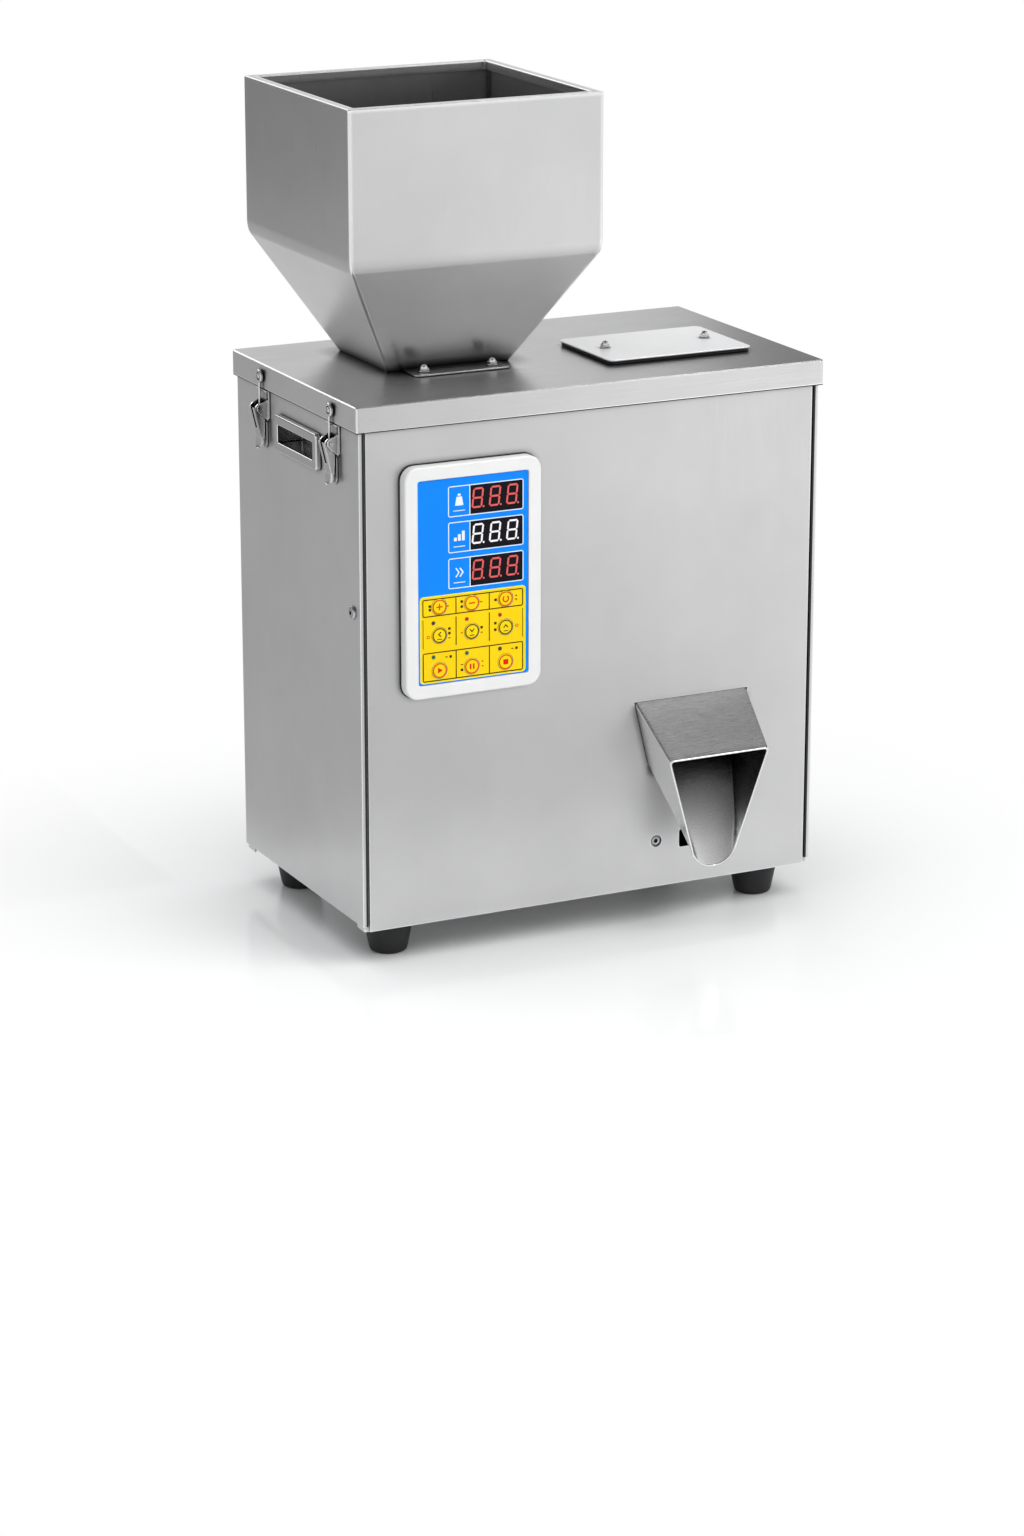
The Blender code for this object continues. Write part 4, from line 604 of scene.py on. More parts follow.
def build_displays():
    frames, windows, dividers = [], [], []
    for row, z in enumerate(ROW_Z):
        low, high = z - FRAME_HEIGHT / 2, z + FRAME_HEIGHT / 2
        frames.append(ring_frame(FRAME_LEFT, FRAME_RIGHT, low, high, 0.0018, FRAME_LINE))
        windows.append(box_outline(FRAME_DIVIDER + FRAME_LINE, FRAME_RIGHT - FRAME_LINE * 1.2,
                                   low + FRAME_LINE * 1.2, high - FRAME_LINE * 1.2, 0.0005))
        dividers.append(box_outline(FRAME_DIVIDER, FRAME_DIVIDER + FRAME_LINE,
                                    low + FRAME_LINE, high - FRAME_LINE, 0.0002))
        figures = []
        for i in range(3):
            figures += digit_segments(DIGIT_FIRST + i * DIGIT_PITCH, z + DIGIT_RISE)
        lit = WHITE_DIGIT if row == 1 else RED_DIGIT
        print_shapes(f"display_digits_{row + 1}", figures, lit, 2)
    print_shapes("display_frames", frames, WHITE_INK, 1)
    print_shapes("display_dividers", dividers, WHITE_INK, 1)
    print_shapes("display_windows", windows, DISPLAY_BLACK, 1)


def display_signs():
    """Plain signs left of the windows: a bag, a counter and a speed mark, each over a line."""
    left = FRAME_LEFT + 0.0045
    right = FRAME_DIVIDER - 0.0038
    middle = (left + right) / 2
    shapes = []
    for row, z in enumerate(ROW_Z):
        shapes.append(stroke([(left, z - 0.0075), (right, z - 0.0075)], 0.0006))
        if row == 0:
            shapes.append([(middle - 0.0035, z - 0.0035), (middle + 0.0035, z - 0.0035),
                           (middle + 0.0023, z + 0.0035), (middle - 0.0023, z + 0.0035)])
            shapes.append(box_outline(middle - 0.0012, middle + 0.0012, z + 0.0042, z + 0.0058, 0.0005))
        elif row == 1:
            for i in range(3):
                u = middle + (i - 1) * 0.0034
                top = z - 0.0002 + i * 0.0024
                shapes.append(box_outline(u - 0.0012, u + 0.0012, z - 0.0030, top, 0.0003))
        else:
            for i in range(2):
                u = middle - 0.0030 + i * 0.0034
                arrow = [(u, z + 0.0040), (u + 0.0026, z + 0.0005), (u, z - 0.0030)]
                shapes.append(stroke(arrow, 0.0010))
    print_shapes("display_signs", shapes, WHITE_INK, 1)


def upright_line(x, low, high, width):
    return stroke([(x, low), (x, high)], width)


def build_key_field():
    """The yellow field with holes for the keys, its border and its cell lines."""
    (left, right), (bottom, top) = FIELD
    border = ring_frame(left, right, bottom, top, 0.0030, 0.0012)
    print_shapes("key_field_border", [border], PALE_YELLOW_INK, 1)
    inner = box_outline(left + 0.0011, right - 0.0011, bottom + 0.0011, top - 0.0011, 0.0020)
    holes = [circle((u, v), KEY_HOLE) for v in KEY_ROWS for u in KEY_COLUMNS]
    bm = bmesh.new()
    add_holed_slab(bm, inner, holes, -INK_ROOT, INK, on_face(PANEL_X, PRINT_FACE, PANEL_Z, 1))
    piece("key_field", bm, YELLOW_INK, "machine", smooth=False)
    left, *middles, right = CELL_EDGES
    rows = ((CELL_ROW_1, CELL_TOP), (CELL_BOTTOM, CELL_ROW_2))
    frames = [ring_frame(left, right, low, high, 0.0016, CELL_LINE) for low, high in rows]
    print_shapes("cell_frames", frames, DARK_INK, 2)
    lines = []
    for edge in middles:
        lines += [upright_line(edge, low + CELL_LINE, high - CELL_LINE, CELL_LINE) for low, high in rows]
        lines.append(upright_line(edge, *CELL_SPLIT, CELL_LINE))
    print_shapes("cell_lines", lines, DARK_INK, 2)
    sides = [upright_line(edge, *CELL_SPLIT, CELL_LINE * 0.7)
             for edge in (left + CELL_LINE / 2, right - CELL_LINE / 2)]
    print_shapes("cell_side_lines", sides, BROWN_INK, 2)


MARKS = {
    (0, 0): [("square", -0.0080, 0.0012), ("square", -0.0080, -0.0016), ("dash", 0.0072, 0.0)],
    (1, 0): [("square", -0.0085, 0.0020), ("square", -0.0085, -0.0020), ("dash", 0.0080, 0.0)],
    (2, 0): [("square", -0.0085, 0.0), ("up", 0.0092, 0.0016), ("down", 0.0092, -0.0016)],
    (0, 1): [("square", 0.0085, 0.0045), ("square", 0.0085, 0.0008), ("dash", 0.0085, -0.0030)],
    (1, 1): [("square", 0.0085, 0.0022), ("dash", 0.0085, -0.0018)],
    (2, 1): [("square", -0.0088, 0.0040), ("square", -0.0088, -0.0012)],
    (0, 2): [("dash", 0.0060, 0.0100), ("square", 0.0095, 0.0100)],
    (1, 2): [("square", -0.0085, -0.0020), ("dash", -0.0085, 0.0022)],
    (2, 2): [("dash", 0.0060, 0.0100), ("square", 0.0095, 0.0100)],
}
RED_MARKS = {
    (0, 1): [("ring", -0.0095, -0.0005)],
    (1, 1): [("up", -0.0085, 0.0)],
    (2, 1): [("ring", 0.0098, 0.0)],
    (1, 2): [("up", 0.0092, 0.0030), ("down", 0.0092, -0.0010)],
}
MARK_SIZE = 0.001035
LAMPS = ((-0.0344, -0.0059, 0.0225), (-0.0318, -0.0590))
LAMP_RADIUS = 0.0016
LAMP_PROUD = 0.0007


def mark_outline(kind, u, v):
    size = MARK_SIZE
    if kind == "square":
        return rounded((u, v), (size * 2, size * 2), 0.0002)
    if kind == "dash":
        return rounded((u, v), (size * 2, size * 0.7), 0.0002)
    size = size if kind == "up" else -size
    return [(u - size, v - size * 0.6), (u + size, v - size * 0.6), (u, v + size * 0.9)]


def build_marks():
    for name, marks, finish in (("key_marks", MARKS, DARK_INK), ("red_key_marks", RED_MARKS, RED_INK)):
        shapes, rings = [], []
        for (column, row), entries in marks.items():
            for kind, du, dv in entries:
                u, v = KEY_COLUMNS[column] + du, KEY_ROWS[row] + dv
                if kind == "ring":
                    rings.append((circle((u, v), 0.0014, 20), circle((u, v), 0.0008, 20)))
                else:
                    shapes.append(mark_outline(kind, u, v))
        print_shapes(name, shapes, finish, 2)
        if rings:
            print_shapes(f"{name}_rings", rings, finish, 2)


def build_lamps():
    finishes = ((DARK_LAMP, RED_LAMP, RED_LAMP), (GREEN_LAMP, GREEN_LAMP, DARK_LAMP))
    profile = [(LAMP_RADIUS, -INK_ROOT), (LAMP_RADIUS, LAMP_PROUD * 0.35)]
    for i in range(1, 6):
        turn = math.pi / 2 * i / 6
        profile.append((LAMP_RADIUS * math.cos(turn), LAMP_PROUD * (0.35 + 0.65 * math.sin(turn))))
    profile.append((0, LAMP_PROUD))
    for row, v in enumerate(LAMPS[1]):
        for column, u in enumerate(LAMPS[0]):
            bm = bmesh.new()
            add_spun(bm, profile, on_face(PANEL_X + u, PRINT_FACE, PANEL_Z + v, 1), 20)
            piece(f"lamp_{row + 1}_{column + 1}", bm, finishes[row][column], "machine")


def key_sign(number):
    """The sign on a key as outlines round the key's own middle: plus, minus, arrows, start and stop."""
    arm, half = 0.0026, SIGN_LINE / 2
    if number == 1:
        return [[(-half, -arm), (half, -arm), (half, -half), (arm, -half), (arm, half), (half, half),
                 (half, arm), (-half, arm), (-half, half), (-arm, half), (-arm, -half), (-half, -half)]]
    if number == 2:
        return [box_outline(-arm, arm, -half, half, 0.0003)]
    if number == 3:
        turns = [math.radians(60 - 300 * i / 14) for i in range(15)]
        return [stroke([(arm * 0.9 * math.cos(t), arm * 0.9 * math.sin(t)) for t in turns], SIGN_LINE)]
    if number in (4, 5, 6):
        turn = {4: math.pi, 5: -math.pi / 2, 6: math.pi / 2}[number]
        points = [(-0.0012, 0.0018), (0.0010, 0), (-0.0012, -0.0018)]
        turned = [(x * math.cos(turn) - y * math.sin(turn), x * math.sin(turn) + y * math.cos(turn) + 0.0008)
                  for x, y in points]
        return [stroke(turned, SIGN_LINE * 0.8), box_outline(-0.0020, 0.0020, -0.0034, -0.0027, 0.0003)]
    if number == 7:
        return [[(-0.0016, -0.0024), (0.0026, 0), (-0.0016, 0.0024)]]
    if number == 8:
        return [box_outline(-0.0021, -0.0006, -0.0022, 0.0022, 0.0003),
                box_outline(0.0006, 0.0021, -0.0022, 0.0022, 0.0003)]
    return [box_outline(-0.0021, 0.0021, -0.0021, 0.0021, 0.0005)]


def build_key_prints():
    for row, v in enumerate(KEY_ROWS):
        for column, u in enumerate(KEY_COLUMNS):
            key = f"key_{row * 3 + column + 1}"
            ring = circle((0, 0), KEY_RING), circle((0, 0), KEY_RING - KEY_RING_LINE)
            bm = bmesh.new()
            for shape in [ring, *key_sign(row * 3 + column + 1)]:
                add_print(bm, shape, on_face(PANEL_X + u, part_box(key)[0].y, PANEL_Z + v))
            ink = DARK_INK if row == 1 else RED_INK
            piece(key.replace("key", "key_print"), bm, ink, key, smooth=False)


build_displays()
display_signs()
build_key_field()
build_marks()
build_lamps()
build_key_prints()


# Sheet metal pieces that replace their solids: finer bends, rolled rims and proper nuts


def unit(gap):
    """A vector of length 1; mathutils leaves a vector of four numbers as it is."""
    return gap / math.sqrt(sum(share * share for share in gap))


def eased(before, corner, after, length, steps):
    """Points of a soft bend in place of a corner, starting and ending length away from it."""
    start = corner + unit(before - corner) * length
    end = corner + unit(after - corner) * length
    shares = [i / steps for i in range(steps + 1)]
    return [start * (1 - t) ** 2 + corner * (2 * t * (1 - t)) + end * t * t for t in shares]


def inwards(points, distance):
    """A closed counterclockwise outline in (x, z) moved in by a distance."""
    moved = []
    for i, point in enumerate(points):
        before = (point - points[i - 1]).normalized()
        after = (points[(i + 1) % len(points)] - point).normalized()
        normal = (Vector((-before.y, before.x)) + Vector((-after.y, after.x))).normalized()
        moved.append(point + normal * (distance / max(normal.dot(Vector((-before.y, before.x))), 0.5)))
    return moved


def replace_node(node, name, bm, finish):
    """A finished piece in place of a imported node, with even normals."""
    made = piece(name, bm, finish, "machine")
    add_modifier(made, "even", "WEIGHTED_NORMAL", keep_sharp=True)
    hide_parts(node)
    return made


# Discharge chute

CHUTE_LOW, CHUTE_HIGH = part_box("discharge_chute")
PANEL_LOW, PANEL_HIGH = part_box("front_panel")
CHUTE_X = (CHUTE_LOW.x + CHUTE_HIGH.x) / 2
CHUTE_SHEET = 0.0015
CHUTE_WALL = {"top": 0.1850, "half": 0.0510, "floor": 0.1320, "floor_half": 0.0385, "sag": 0.0}
CHUTE_MOUTH = {"top": 0.1487, "half": 0.0453, "floor": 0.0687, "floor_half": 0.0205, "sag": 0.0168}
CHUTE_LEAN = 0.0080
CHUTE_FLOOR_STEPS = 28
CHUTE_ROWS = 14
ROOF_BEND = 0.0024
FLOOR_BEND = 0.0030
BEND_STEPS = 5
RIM_STEPS = 6


def chute_corners(shape):
    """The roof's two ends and the floor's points, counterclockwise in (x, z) about the chute's middle."""
    half, sag, floor = shape["floor_half"], shape["sag"], shape["floor"]
    points = [Vector((shape["half"], shape["top"])), Vector((-shape["half"], shape["top"]))]
    for i in range(CHUTE_FLOOR_STEPS + 1):
        share = 2 * i / CHUTE_FLOOR_STEPS - 1
        if sag:
            radius = (half**2 + sag**2) / (2 * sag)
            turn = math.asin(half / radius) * share
            points.append(Vector((radius * math.sin(turn), floor - sag + radius * (1 - math.cos(turn)))))
        else:
            points.append(Vector((half * share, floor)))
    return points


def chute_ring(share, inset, forward=0.0):
    """The chute's outline at a share of the way from the panel to the mouth, moved in by inset."""
    flat = [a.lerp(b, share) for a, b in zip(chute_corners(CHUTE_WALL), chute_corners(CHUTE_MOUTH))]
    flat = inwards(flat, inset)
    last = len(flat) - 1
    bends = {0: ROOF_BEND, 1: ROOF_BEND, 2: FLOOR_BEND, last: FLOOR_BEND}
    ring = []
    for i, point in enumerate(flat):
        if i in bends:
            before, after = flat[i - 1], flat[(i + 1) % len(flat)]
            turn = (point - before).angle(after - point)
            ring += eased(before, point, after, bends[i] * math.tan(turn / 2) + 0.00002, BEND_STEPS)
        else:
            ring.append(point)
    height = CHUTE_MOUTH["top"] - CHUTE_MOUTH["floor"] + CHUTE_MOUTH["sag"]
    wall = PANEL_LOW.y
    placed = []
    for point in ring:
        lip = CHUTE_LOW.y + CHUTE_LEAN * min(max((CHUTE_MOUTH["top"] - point.y) / height, 0), 1)
        y = wall * (1 - share) + lip * share - forward
        placed.append(Vector((CHUTE_X + point.x, y, point.y)))
    return placed


def build_chute():
    """A folded spout whose walls end in a rounded rim, with its collar through the front panel."""
    bm = bmesh.new()
    back = PANEL_LOW.y - CHUTE_HIGH.y
    rim = CHUTE_SHEET / 2
    reach = 1 - rim / (PANEL_LOW.y - CHUTE_LOW.y)
    outer = [chute_ring(0, 0, back)]
    outer += [chute_ring(reach * i / CHUTE_ROWS, 0) for i in range(CHUTE_ROWS + 1)]
    turns = [math.pi * i / RIM_STEPS for i in range(1, RIM_STEPS)]
    edge = [chute_ring(reach, rim * (1 - math.cos(t)), rim * math.sin(t)) for t in turns]
    inner = [chute_ring(reach * i / CHUTE_ROWS, CHUTE_SHEET) for i in range(CHUTE_ROWS, -1, -1)]
    inner.append(chute_ring(0, CHUTE_SHEET, back))
    skin(bm, outer + edge + inner)
    replace_node("discharge_chute", "chute_spout", bm, CHUTE_STEEL)


build_chute()


# Hopper

HOPPER_LOW, HOPPER_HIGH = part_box("hopper")
LID_LOW, LID_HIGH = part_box("lid")
HOPPER_MIDDLE = (HOPPER_LOW + HOPPER_HIGH) / 2
HOPPER_SIZE = HOPPER_HIGH - HOPPER_LOW
HOPPER_SHEET = 0.0012
HOPPER_KINK = 0.542
KINK_BEND = 0.008
HOPPER_CORNER = 0.0018
OUTLET = (0.105, 0.094)
NECK = (0.080, 0.060)
NECK_HEIGHTS = (0.010, 0.028)
SMALL_CORNER = 0.0018
RIM_WIDTH = 0.008
RIM_RETURN = 0.007
RIM_BEND = 0.0014
CORNER_STEPS = 8
STRIP_SIZE = (0.082, 0.028)
STRIP_SHEET = 0.0015
STRIP_CORNER = 0.004
SEAT_GAP = 0.0003


def hopper_row(size, corner, height, inset=0.0):
    """Width, length, corner radius and height of one level of the hopper."""
    return Vector((size[0] - 2 * inset, size[1] - 2 * inset, max(corner - inset, 0.0004), height))


def hopper_ring(row):
    width, length, corner, height = row
    outline = rounded((HOPPER_MIDDLE.x, HOPPER_MIDDLE.y), (width, length), corner, CORNER_STEPS)
    return [Vector((x, y, height)) for x, y in outline]


def hopper_wall(inset):
    """The rows of one face of the wall from the neck's bottom up to under the rim."""
    bottom = HOPPER_LOW.z
    bin_size = HOPPER_SIZE.xy
    levels = ((NECK, bottom), (NECK, bottom + NECK_HEIGHTS[0]),
              (OUTLET, bottom + NECK_HEIGHTS[1]), (OUTLET, LID_HIGH.z))
    rows = [hopper_row(size, SMALL_CORNER, height, inset) for size, height in levels]
    kink = hopper_row(bin_size, HOPPER_CORNER, HOPPER_KINK, inset)
    above = hopper_row(bin_size, HOPPER_CORNER, HOPPER_KINK + 2 * KINK_BEND, inset)
    return rows + eased(rows[-1], kink, above, KINK_BEND, 8)


def build_hopper():
    """A bin over a funnel, with soft bends and a rim folded in and down, made of one sheet."""
    top = HOPPER_HIGH.z
    bin_size = HOPPER_SIZE.xy
    mouth = bin_size - Vector((RIM_WIDTH, RIM_WIDTH)) * 2
    behind = mouth + Vector((HOPPER_SHEET, HOPPER_SHEET)) * 2
    side = hopper_row(bin_size, HOPPER_CORNER, top - 0.02)
    corner = hopper_row(bin_size, HOPPER_CORNER, top)
    lip = hopper_row(mouth, SMALL_CORNER, top)
    end = hopper_row(mouth, SMALL_CORNER, top - RIM_RETURN)
    rows = hopper_wall(0)
    rows += eased(side, corner, lip, RIM_BEND, 5)
    rows += eased(corner, lip, end, RIM_BEND, 5)
    rows += [end, hopper_row(behind, SMALL_CORNER, top - RIM_RETURN)]
    rows += [hopper_row(behind, SMALL_CORNER, top - HOPPER_SHEET),
             hopper_row(bin_size, HOPPER_CORNER, top - HOPPER_SHEET, HOPPER_SHEET)]
    rows += hopper_wall(HOPPER_SHEET)[::-1]
    bm = bmesh.new()
    skin(bm, [hopper_ring(row) for row in rows])
    replace_node("hopper", "hopper_bin", bm, HOPPER_STEEL)
    for facing, end_name in ((-1, "front"), (1, "back")):
        middle = HOPPER_MIDDLE.y + facing * (OUTLET[1] + STRIP_SIZE[1]) / 2
        outline = rounded((HOPPER_MIDDLE.x, middle), STRIP_SIZE, STRIP_CORNER)
        low = LID_HIGH.z + SEAT_GAP
        bm = bmesh.new()
        add_slab(bm, outline, low, low + STRIP_SHEET, upright)
        strip = replace_node("hopper", f"hopper_strip_{end_name}", bm, LID_STEEL)
        soften(strip, 0.0004)


def soften(made, width):
    """Rounds a new piece's edges before its normals are evened out."""
    add_modifier(made, "edges", "BEVEL", width=width, segments=2, **SOFT_EDGES)
    made.modifiers.move(len(made.modifiers) - 1, 0)


build_hopper()


# Cap nuts on the hopper's strips and the hatch, and the hatch's plate

THREAD = 0.002
WASHER = (2.25, 0.5)
WASHER_BEND = 0.00025
NUT_ACROSS = 1.98
NUT_TOP = 1.5
DOME = (1.50, 2.9)
NUT_CHAMFER = 0.22
HATCH_LOW, HATCH_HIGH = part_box("hatch_cover")
HATCH_MIDDLE = (HATCH_LOW + HATCH_HIGH) / 2
HATCH_CORNER = 0.0055
HATCH_SHEET = 0.0015
HATCH_NUT_SPACING = 0.090


def add_cap_nut(bm, seat, turn):
    """A washer, a chamfered hexagon and a dome over the bolt's end, standing on seat."""

    def place(u, v, w):
        across = u * math.cos(turn) - v * math.sin(turn)
        return seat + Vector((across, u * math.sin(turn) + v * math.cos(turn), w))

    washer, height = (THREAD * k for k in WASHER)
    soft = WASHER_BEND
    round_edge = [(washer - soft, 0), (washer, soft), (washer, height - soft), (washer - soft, height)]
    add_spun(bm, round_edge, place)
    across, top = THREAD * NUT_ACROSS, THREAD * NUT_TOP
    cut = THREAD * NUT_CHAMFER
    levels = ((across - cut, height), (across, height + cut * 0.6),
              (across, top - cut * 0.6), (across - cut, top))
    skin(bm, [[place(u, v, w) for u, v in circle((0, 0), r, 6)] for r, w in levels], loop=False, cap=True)
    base, tip = THREAD * DOME[0], THREAD * DOME[1]
    turns = [math.pi / 2 * i / 8 for i in range(8)]
    dome = [(base, top - cut)]
    dome += [(base * math.cos(t), top + (tip - top) * math.sin(t)) for t in turns]
    add_spun(bm, dome + [(0, tip)], place)


def build_cap_nuts():
    seat = LID_HIGH.z + SEAT_GAP + STRIP_SHEET + SEAT_GAP
    for index, end in enumerate(("front_left", "front_right", "back_left", "back_right")):
        low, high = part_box(f"hopper_bolt_{end}")
        bm = bmesh.new()
        add_cap_nut(bm, Vector((*((low + high) / 2).xy, seat)), 0.4 + index * 0.37)
        replace_node(f"hopper_bolt_{end}", f"hopper_nut_{end}", bm, NUT_STEEL)


def build_hatch():
    """The hatch's plate with soft edges and its two cap nuts."""
    plate_low = HATCH_HIGH.z - THREAD * DOME[1] - HATCH_SHEET + 0.0001
    size = (HATCH_HIGH.x - HATCH_LOW.x, HATCH_HIGH.y - HATCH_LOW.y)
    bm = bmesh.new()
    outline = rounded((HATCH_MIDDLE.x, HATCH_MIDDLE.y), size, HATCH_CORNER, CORNER_STEPS)
    add_slab(bm, outline, plate_low, plate_low + HATCH_SHEET, upright)
    soften(replace_node("hatch_cover", "hatch_plate", bm, HATCH_STEEL), 0.0005)
    for side, hand in ((-1, "left"), (1, "right")):
        bm = bmesh.new()
        x = HATCH_MIDDLE.x + side * HATCH_NUT_SPACING / 2
        add_cap_nut(bm, Vector((x, HATCH_MIDDLE.y, plate_low + HATCH_SHEET)), 0.2 + side * 0.3)
        replace_node("hatch_cover", f"hatch_nut_{hand}", bm, NUT_STEEL)


build_cap_nuts()
build_hatch()


# Black strips of painted shade in the joints of the housing and behind the panel

SEAM_GAP = 0.0002
SEAM_WIDTH = 0.0016
SEAM_PROUD = 0.00015
SEAM_END = 0.0006
# Size of the black strips of painted shade under the lid and round the bezel
SHADE_STRIP_PROUD = 0.0024
SHADE_STRIP_HEIGHT = 0.0009
BEZEL_SHADE_WIDTH = 0.0007
BEZEL_SHADE_DEPTH = 0.0012
BEZEL_CORNER = 0.0110


def square_outline(low, high, inset=0.0):
    """Counterclockwise outline of the rectangle between two corners, moved in by inset."""
    left, front, right, back = low[0] + inset, low[1] + inset, high[0] - inset, high[1] - inset
    return [(left, front), (right, front), (right, back), (left, back)]


# Painted shade: a black strip put into a joint where there is only shade
def shade_strip(name, bm, smooth=False):
    piece(name, bm, RUBBER, "machine", smooth)


def build_shade_strips():
    """Black strips of painted shade along the upright seams, under the lid and behind the bezel."""
    left_low, left_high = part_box("left_side_cover")
    right_low, right_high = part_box("right_side_cover")
    front = left_low.y
    seam_top = LID_LOW.z - SHADE_STRIP_HEIGHT
    for name, start in (("seam_shade_left", left_high.x + SEAM_GAP - SEAM_WIDTH),
                        ("seam_shade_right", right_low.x - SEAM_GAP)):
        bm = bmesh.new()
        outline = square_outline((start, front - SEAM_PROUD), (start + SEAM_WIDTH, front))
        add_slab(bm, outline, left_low.z + SEAM_END, seam_top, upright)
        shade_strip(name, bm)
    low = (left_low.x - SHADE_STRIP_PROUD, front - SHADE_STRIP_PROUD)
    high = (right_high.x + SHADE_STRIP_PROUD, left_high.y + SHADE_STRIP_PROUD)
    bm = bmesh.new()
    outlines = square_outline(low, high), square_outline(low, high, SHADE_STRIP_PROUD)
    add_band(bm, *outlines, seam_top, LID_LOW.z, upright)
    shade_strip("lid_shade_strip", bm)
    low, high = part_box("control_bezel")
    middle, size = ((low + high) / 2).xz, (high - low).xz
    outlines = [rounded(middle, (size.x + 2 * wider, size.y + 2 * wider), BEZEL_CORNER + wider)
                for wider in (BEZEL_SHADE_WIDTH, -BEZEL_SHADE_WIDTH)]
    bm = bmesh.new()
    add_band(bm, *outlines, front - BEZEL_SHADE_DEPTH, front, lambda u, v, w: (u, w, v))
    shade_strip("bezel_shade_strip", bm, smooth=True)


build_shade_strips()


# Screws that hold the side covers and the back panel

SCREW_RADIUS = 0.0052
SCREW_PROUD = 0.0026
SCREW_SOCKET = 0.0021
SCREW_FLOOR = 0.000315
SCREW_DOME = ((0.55, 1.0), (0.85, 0.80), (1.0, 0.35), (1.0, 0.0))
SCREW_STEPS = 28
SIDE_SCREW_Z = 0.2848
SIDE_SCREW_INSET = 0.0130
BACK_SCREW_INSET = 0.012
BACK_SCREW_HEIGHTS = (0.045, 0.237, 0.415)


def add_screw(bm, place):
    """A domed screw head with a six-sided socket; place(across, up, out) puts it on its face."""
    profile = [(0, SCREW_FLOOR), (SCREW_SOCKET, SCREW_FLOOR), (SCREW_SOCKET, SCREW_PROUD)]
    profile += [(SCREW_RADIUS * across, SCREW_PROUD * out) for across, out in SCREW_DOME] + [(0, 0)]
    add_spun(bm, profile, place, SCREW_STEPS, hexagons=(1, 2))


def build_screws():
    left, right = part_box("left_side_cover"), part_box("right_side_cover")
    y = left[0].y + SIDE_SCREW_INSET
    for side, x, out in (("left", left[0].x, -1), ("right", right[1].x, 1)):
        bm = bmesh.new()
        add_screw(bm, lambda u, v, w, x=x, out=out: (x + out * w, y + u, SIDE_SCREW_Z + v))
        piece(f"side_screw_{side}", bm, SPRING_STEEL, "machine")
    bm = bmesh.new()
    for x in (PANEL_LOW.x + BACK_SCREW_INSET, PANEL_HIGH.x - BACK_SCREW_INSET):
        for z in BACK_SCREW_HEIGHTS:
            add_screw(bm, lambda u, v, w, x=x, z=z: (x + u, left[1].y + w, z + v))
    piece("back_screws", bm, SPRING_STEEL, "machine")


build_screws()


# Studio


def seen_by(tree, *kinds):
    """1 for the kinds of ray that are named."""
    path = add_node(tree, "ShaderNodeLightPath").outputs
    share = path[kinds[0]]
    for kind in kinds[1:]:
        share = add_node(tree, "ShaderNodeMath", {0: share, 1: path[kind]}, operation="MAXIMUM").outputs[0]
    return share


def mix_shaders(tree, share, first, second):
    sockets = {"Fac": share, 1: first.outputs[0], 2: second.outputs[0]}
    return add_node(tree, "ShaderNodeMixShader", sockets)


def show(tree, output, shader):
    set_inputs(tree, tree.nodes[output], {"Surface": shader.outputs[0]})


def build_world():
    """White for the rays that see it, darker overhead in mirror images, and soft light for the rest."""
    world = bpy.data.worlds.new("studio")
    bpy.context.scene.world = world
    world.use_nodes = True
    tree = world.node_tree
    way = add_node(tree, "ShaderNodeTexCoord").outputs["Generated"]
    upward = add_node(tree, "ShaderNodeSeparateXYZ", {0: way}).outputs["Z"]
    fading = ramp(tree, upward, WALL_WHITE, CEILING, CEILING_START, CEILING_END)
    overhead = add_node(tree, "ShaderNodeBackground", {"Color": WHITE, "Strength": fading})
    soft = add_node(tree, "ShaderNodeBackground", {"Color": SOFT_COLOUR, "Strength": SOFT_LIGHT})
    backdrop = tree.nodes["Background"]
    set_inputs(tree, backdrop, {"Color": WHITE})
    lit = mix_shaders(tree, seen_by(tree, "Is Glossy Ray"), soft, overhead)
    seen = seen_by(tree, "Is Camera Ray", "Is Transmission Ray")
    show(tree, "World Output", mix_shaders(tree, seen, lit, backdrop))


def flat_mesh(name, corners):
    mesh = bpy.data.meshes.new(name)
    mesh.from_pydata(corners, [], [list(range(len(corners)))])
    made = bpy.data.objects.new(name, mesh)
    bpy.context.scene.collection.objects.link(made)
    return made


def build_floor():
    """A pale glossy floor round the machine that fades into the white backdrop, also in mirror images."""
    floor = flat_mesh("floor", [(x, y, 0.0) for x, y in circle((0, 0), FLOOR_RADIUS, FLOOR_STEPS)])
    made, tree, shader = new_material("floor")
    set_inputs(tree, shader, {"Base Color": (*FLOOR_COLOUR, 1.0), "Roughness": FLOOR_ROUGHNESS})
    distance = add_node(tree, "ShaderNodeVectorMath", {0: object_coordinates(tree)}, operation="LENGTH")
    far = ramp(tree, distance.outputs["Value"], 0.0, 1.0, *FADE)
    seen = seen_by(tree, "Is Camera Ray", "Is Glossy Ray", "Is Transmission Ray")
    share = add_node(tree, "ShaderNodeMath", {0: far, 1: seen}, operation="MULTIPLY").outputs[0]
    white = add_node(tree, "ShaderNodeEmission", {"Color": WHITE})
    show(tree, "Material Output", mix_shaders(tree, share, shader, white))
    floor.data.materials.append(made)


def aim(made, place, target):
    """Puts a card or a lamp at place, facing target."""
    made.location = place
    made.rotation_euler = (Vector(target) - Vector(place)).to_track_quat("-Z", "Y").to_euler()


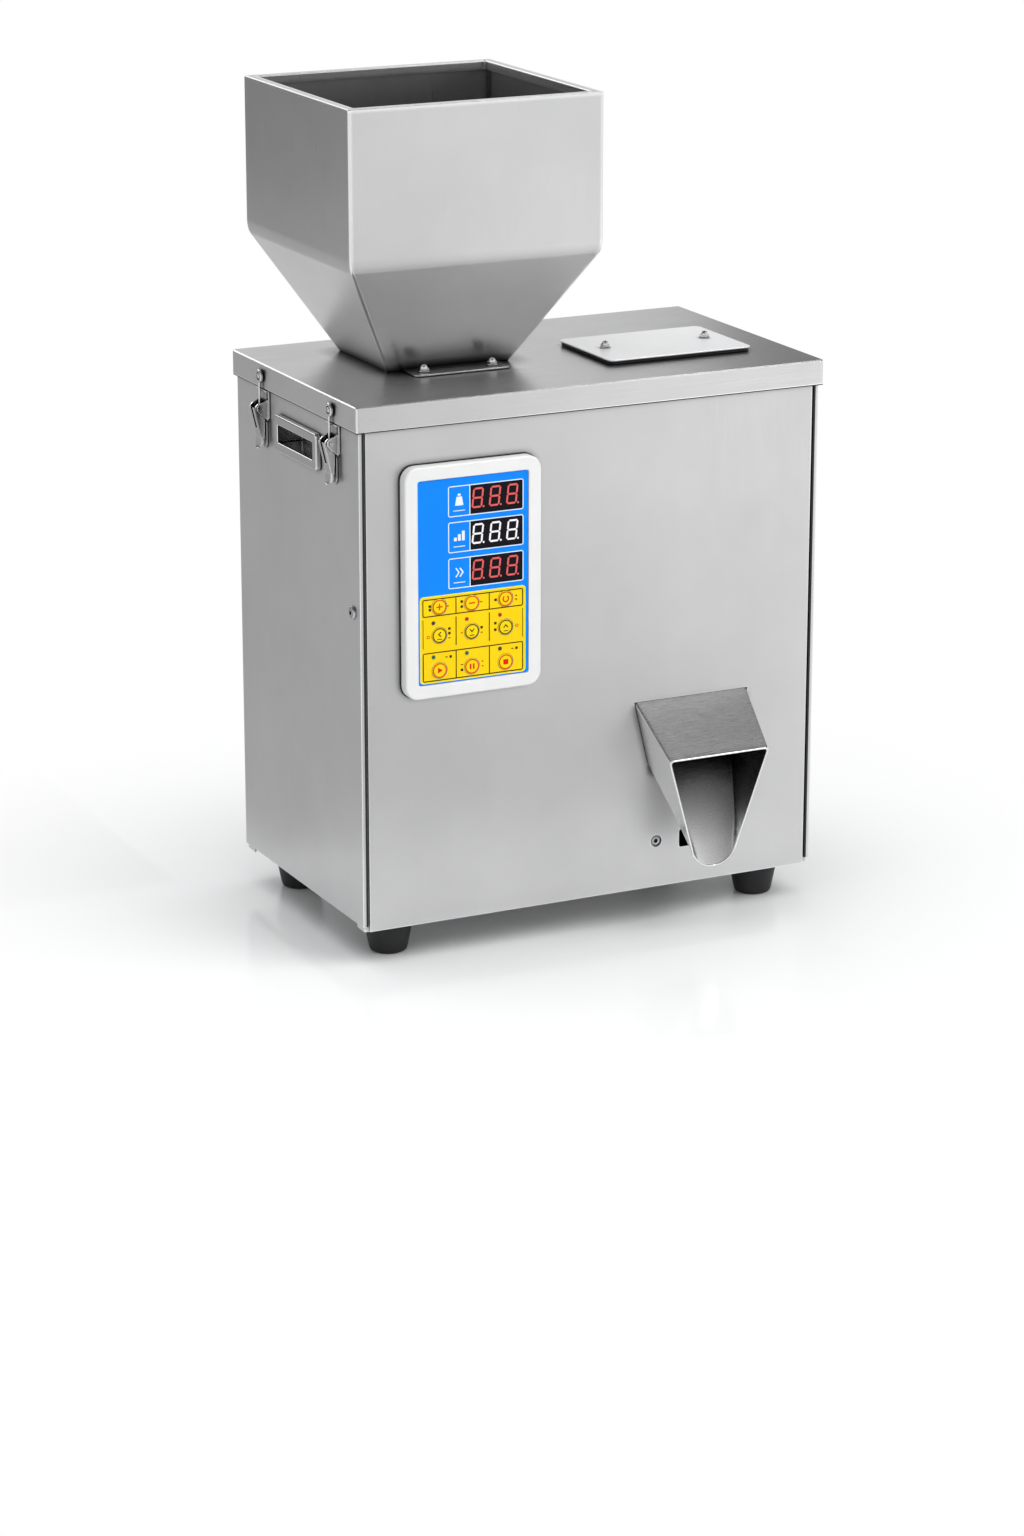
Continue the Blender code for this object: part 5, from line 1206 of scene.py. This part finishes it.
def build_card(name, place, target, size, level):
    """A card that only mirror images show, dark or bright, as photographers shape bright metal with."""
    across, up = size[0] / 2, size[1] / 2
    card = flat_mesh(name, [(-across, -up, 0), (across, -up, 0), (across, up, 0), (-across, up, 0)])
    aim(card, place, target or (*place[:2], -1.0))
    for kind in ("camera", "diffuse", "transmission", "volume_scatter", "shadow"):
        setattr(card, f"visible_{kind}", False)
    made, tree, shader = new_material(name)
    tree.nodes.remove(shader)
    show(tree, "Material Output", add_node(tree, "ShaderNodeEmission", {"Color": WHITE, "Strength": level}))
    card.data.materials.append(made)


def area_light(name, place, target, size, power):
    light = bpy.data.lights.new(name, "AREA")
    light.shape = "RECTANGLE"
    light.size, light.size_y = size
    light.energy = power
    lamp = bpy.data.objects.new(name, light)
    aim(lamp, place, target)
    lamp.visible_glossy = False
    bpy.context.scene.collection.objects.link(lamp)


def build_camera():
    data = bpy.data.cameras.new("camera")
    data.lens = CAMERA_LENS
    data.sensor_width = SENSOR
    camera = bpy.data.objects.new("camera", data)
    flat = math.cos(CAMERA_ELEVATION)
    back = Vector((math.sin(CAMERA_AZIMUTH) * flat, -math.cos(CAMERA_AZIMUTH) * flat,
                   math.sin(CAMERA_ELEVATION)))
    camera.location = CAMERA_PLACE
    camera.rotation_euler = back.to_track_quat("Z", "Y").to_euler()
    bpy.context.scene.collection.objects.link(camera)
    bpy.context.scene.camera = camera


# Name, place, the point it faces (None: straight down), size and level of each card
CARDS = (
    ("dark_floor_card", (-1.30, 1.52, 0.004), None, (2.1, 2.7), 0.53),
    ("dark_back_card", (-1.30, 2.60, 0.45), (-0.2, 0, 0.3), (2.0, 0.8), 0.20),
    ("grey_floor_card", (0.02, -0.95, 0.004), None, (0.55, 1.2), 0.68),
    ("grey_far_card", (0.35, -1.95, 0.004), None, (0.65, 0.8), 0.25),
    ("bright_floor_card", (1.32, -1.45, 0.004), None, (1.2, 1.9), 1.35),
    ("bright_far_card", (1.25, -2.10, 0.005), None, (0.7, 0.9), 1.6),
    ("dark_right_card", (1.80, 1.80, 1.10), (0, 0, 0.45), (1.2, 1.5), 0.25),
    ("bright_top_card", (1.18, -0.98, 2.40), (0, -0.1, 0.3), (0.6, 0.6), 4.0),
    ("bright_left_card", (-1.45, -0.75, 0.004), None, (1.9, 0.9), 1.25),
    ("bright_side_card", (-1.25, 1.35, 1.65), (0, 0, 0.3), (0.55, 0.55), 2.2),
    ("bright_back_card", (-0.75, 2.30, 1.45), (-0.1, 0, 0.45), (0.6, 0.6), 2.4),
)

build_world()
build_floor()
for card in CARDS:
    build_card(*card)
area_light("key", (1.5, -1.6, 2.4), (0, 0, 0.2), (2.2, 2.2), 55)
area_light("top", (-0.4, 0.2, 2.6), (0, 0, 0.2), (2.4, 2.4), 36)
build_camera()
bpy.context.scene.view_settings.view_transform = "Standard"
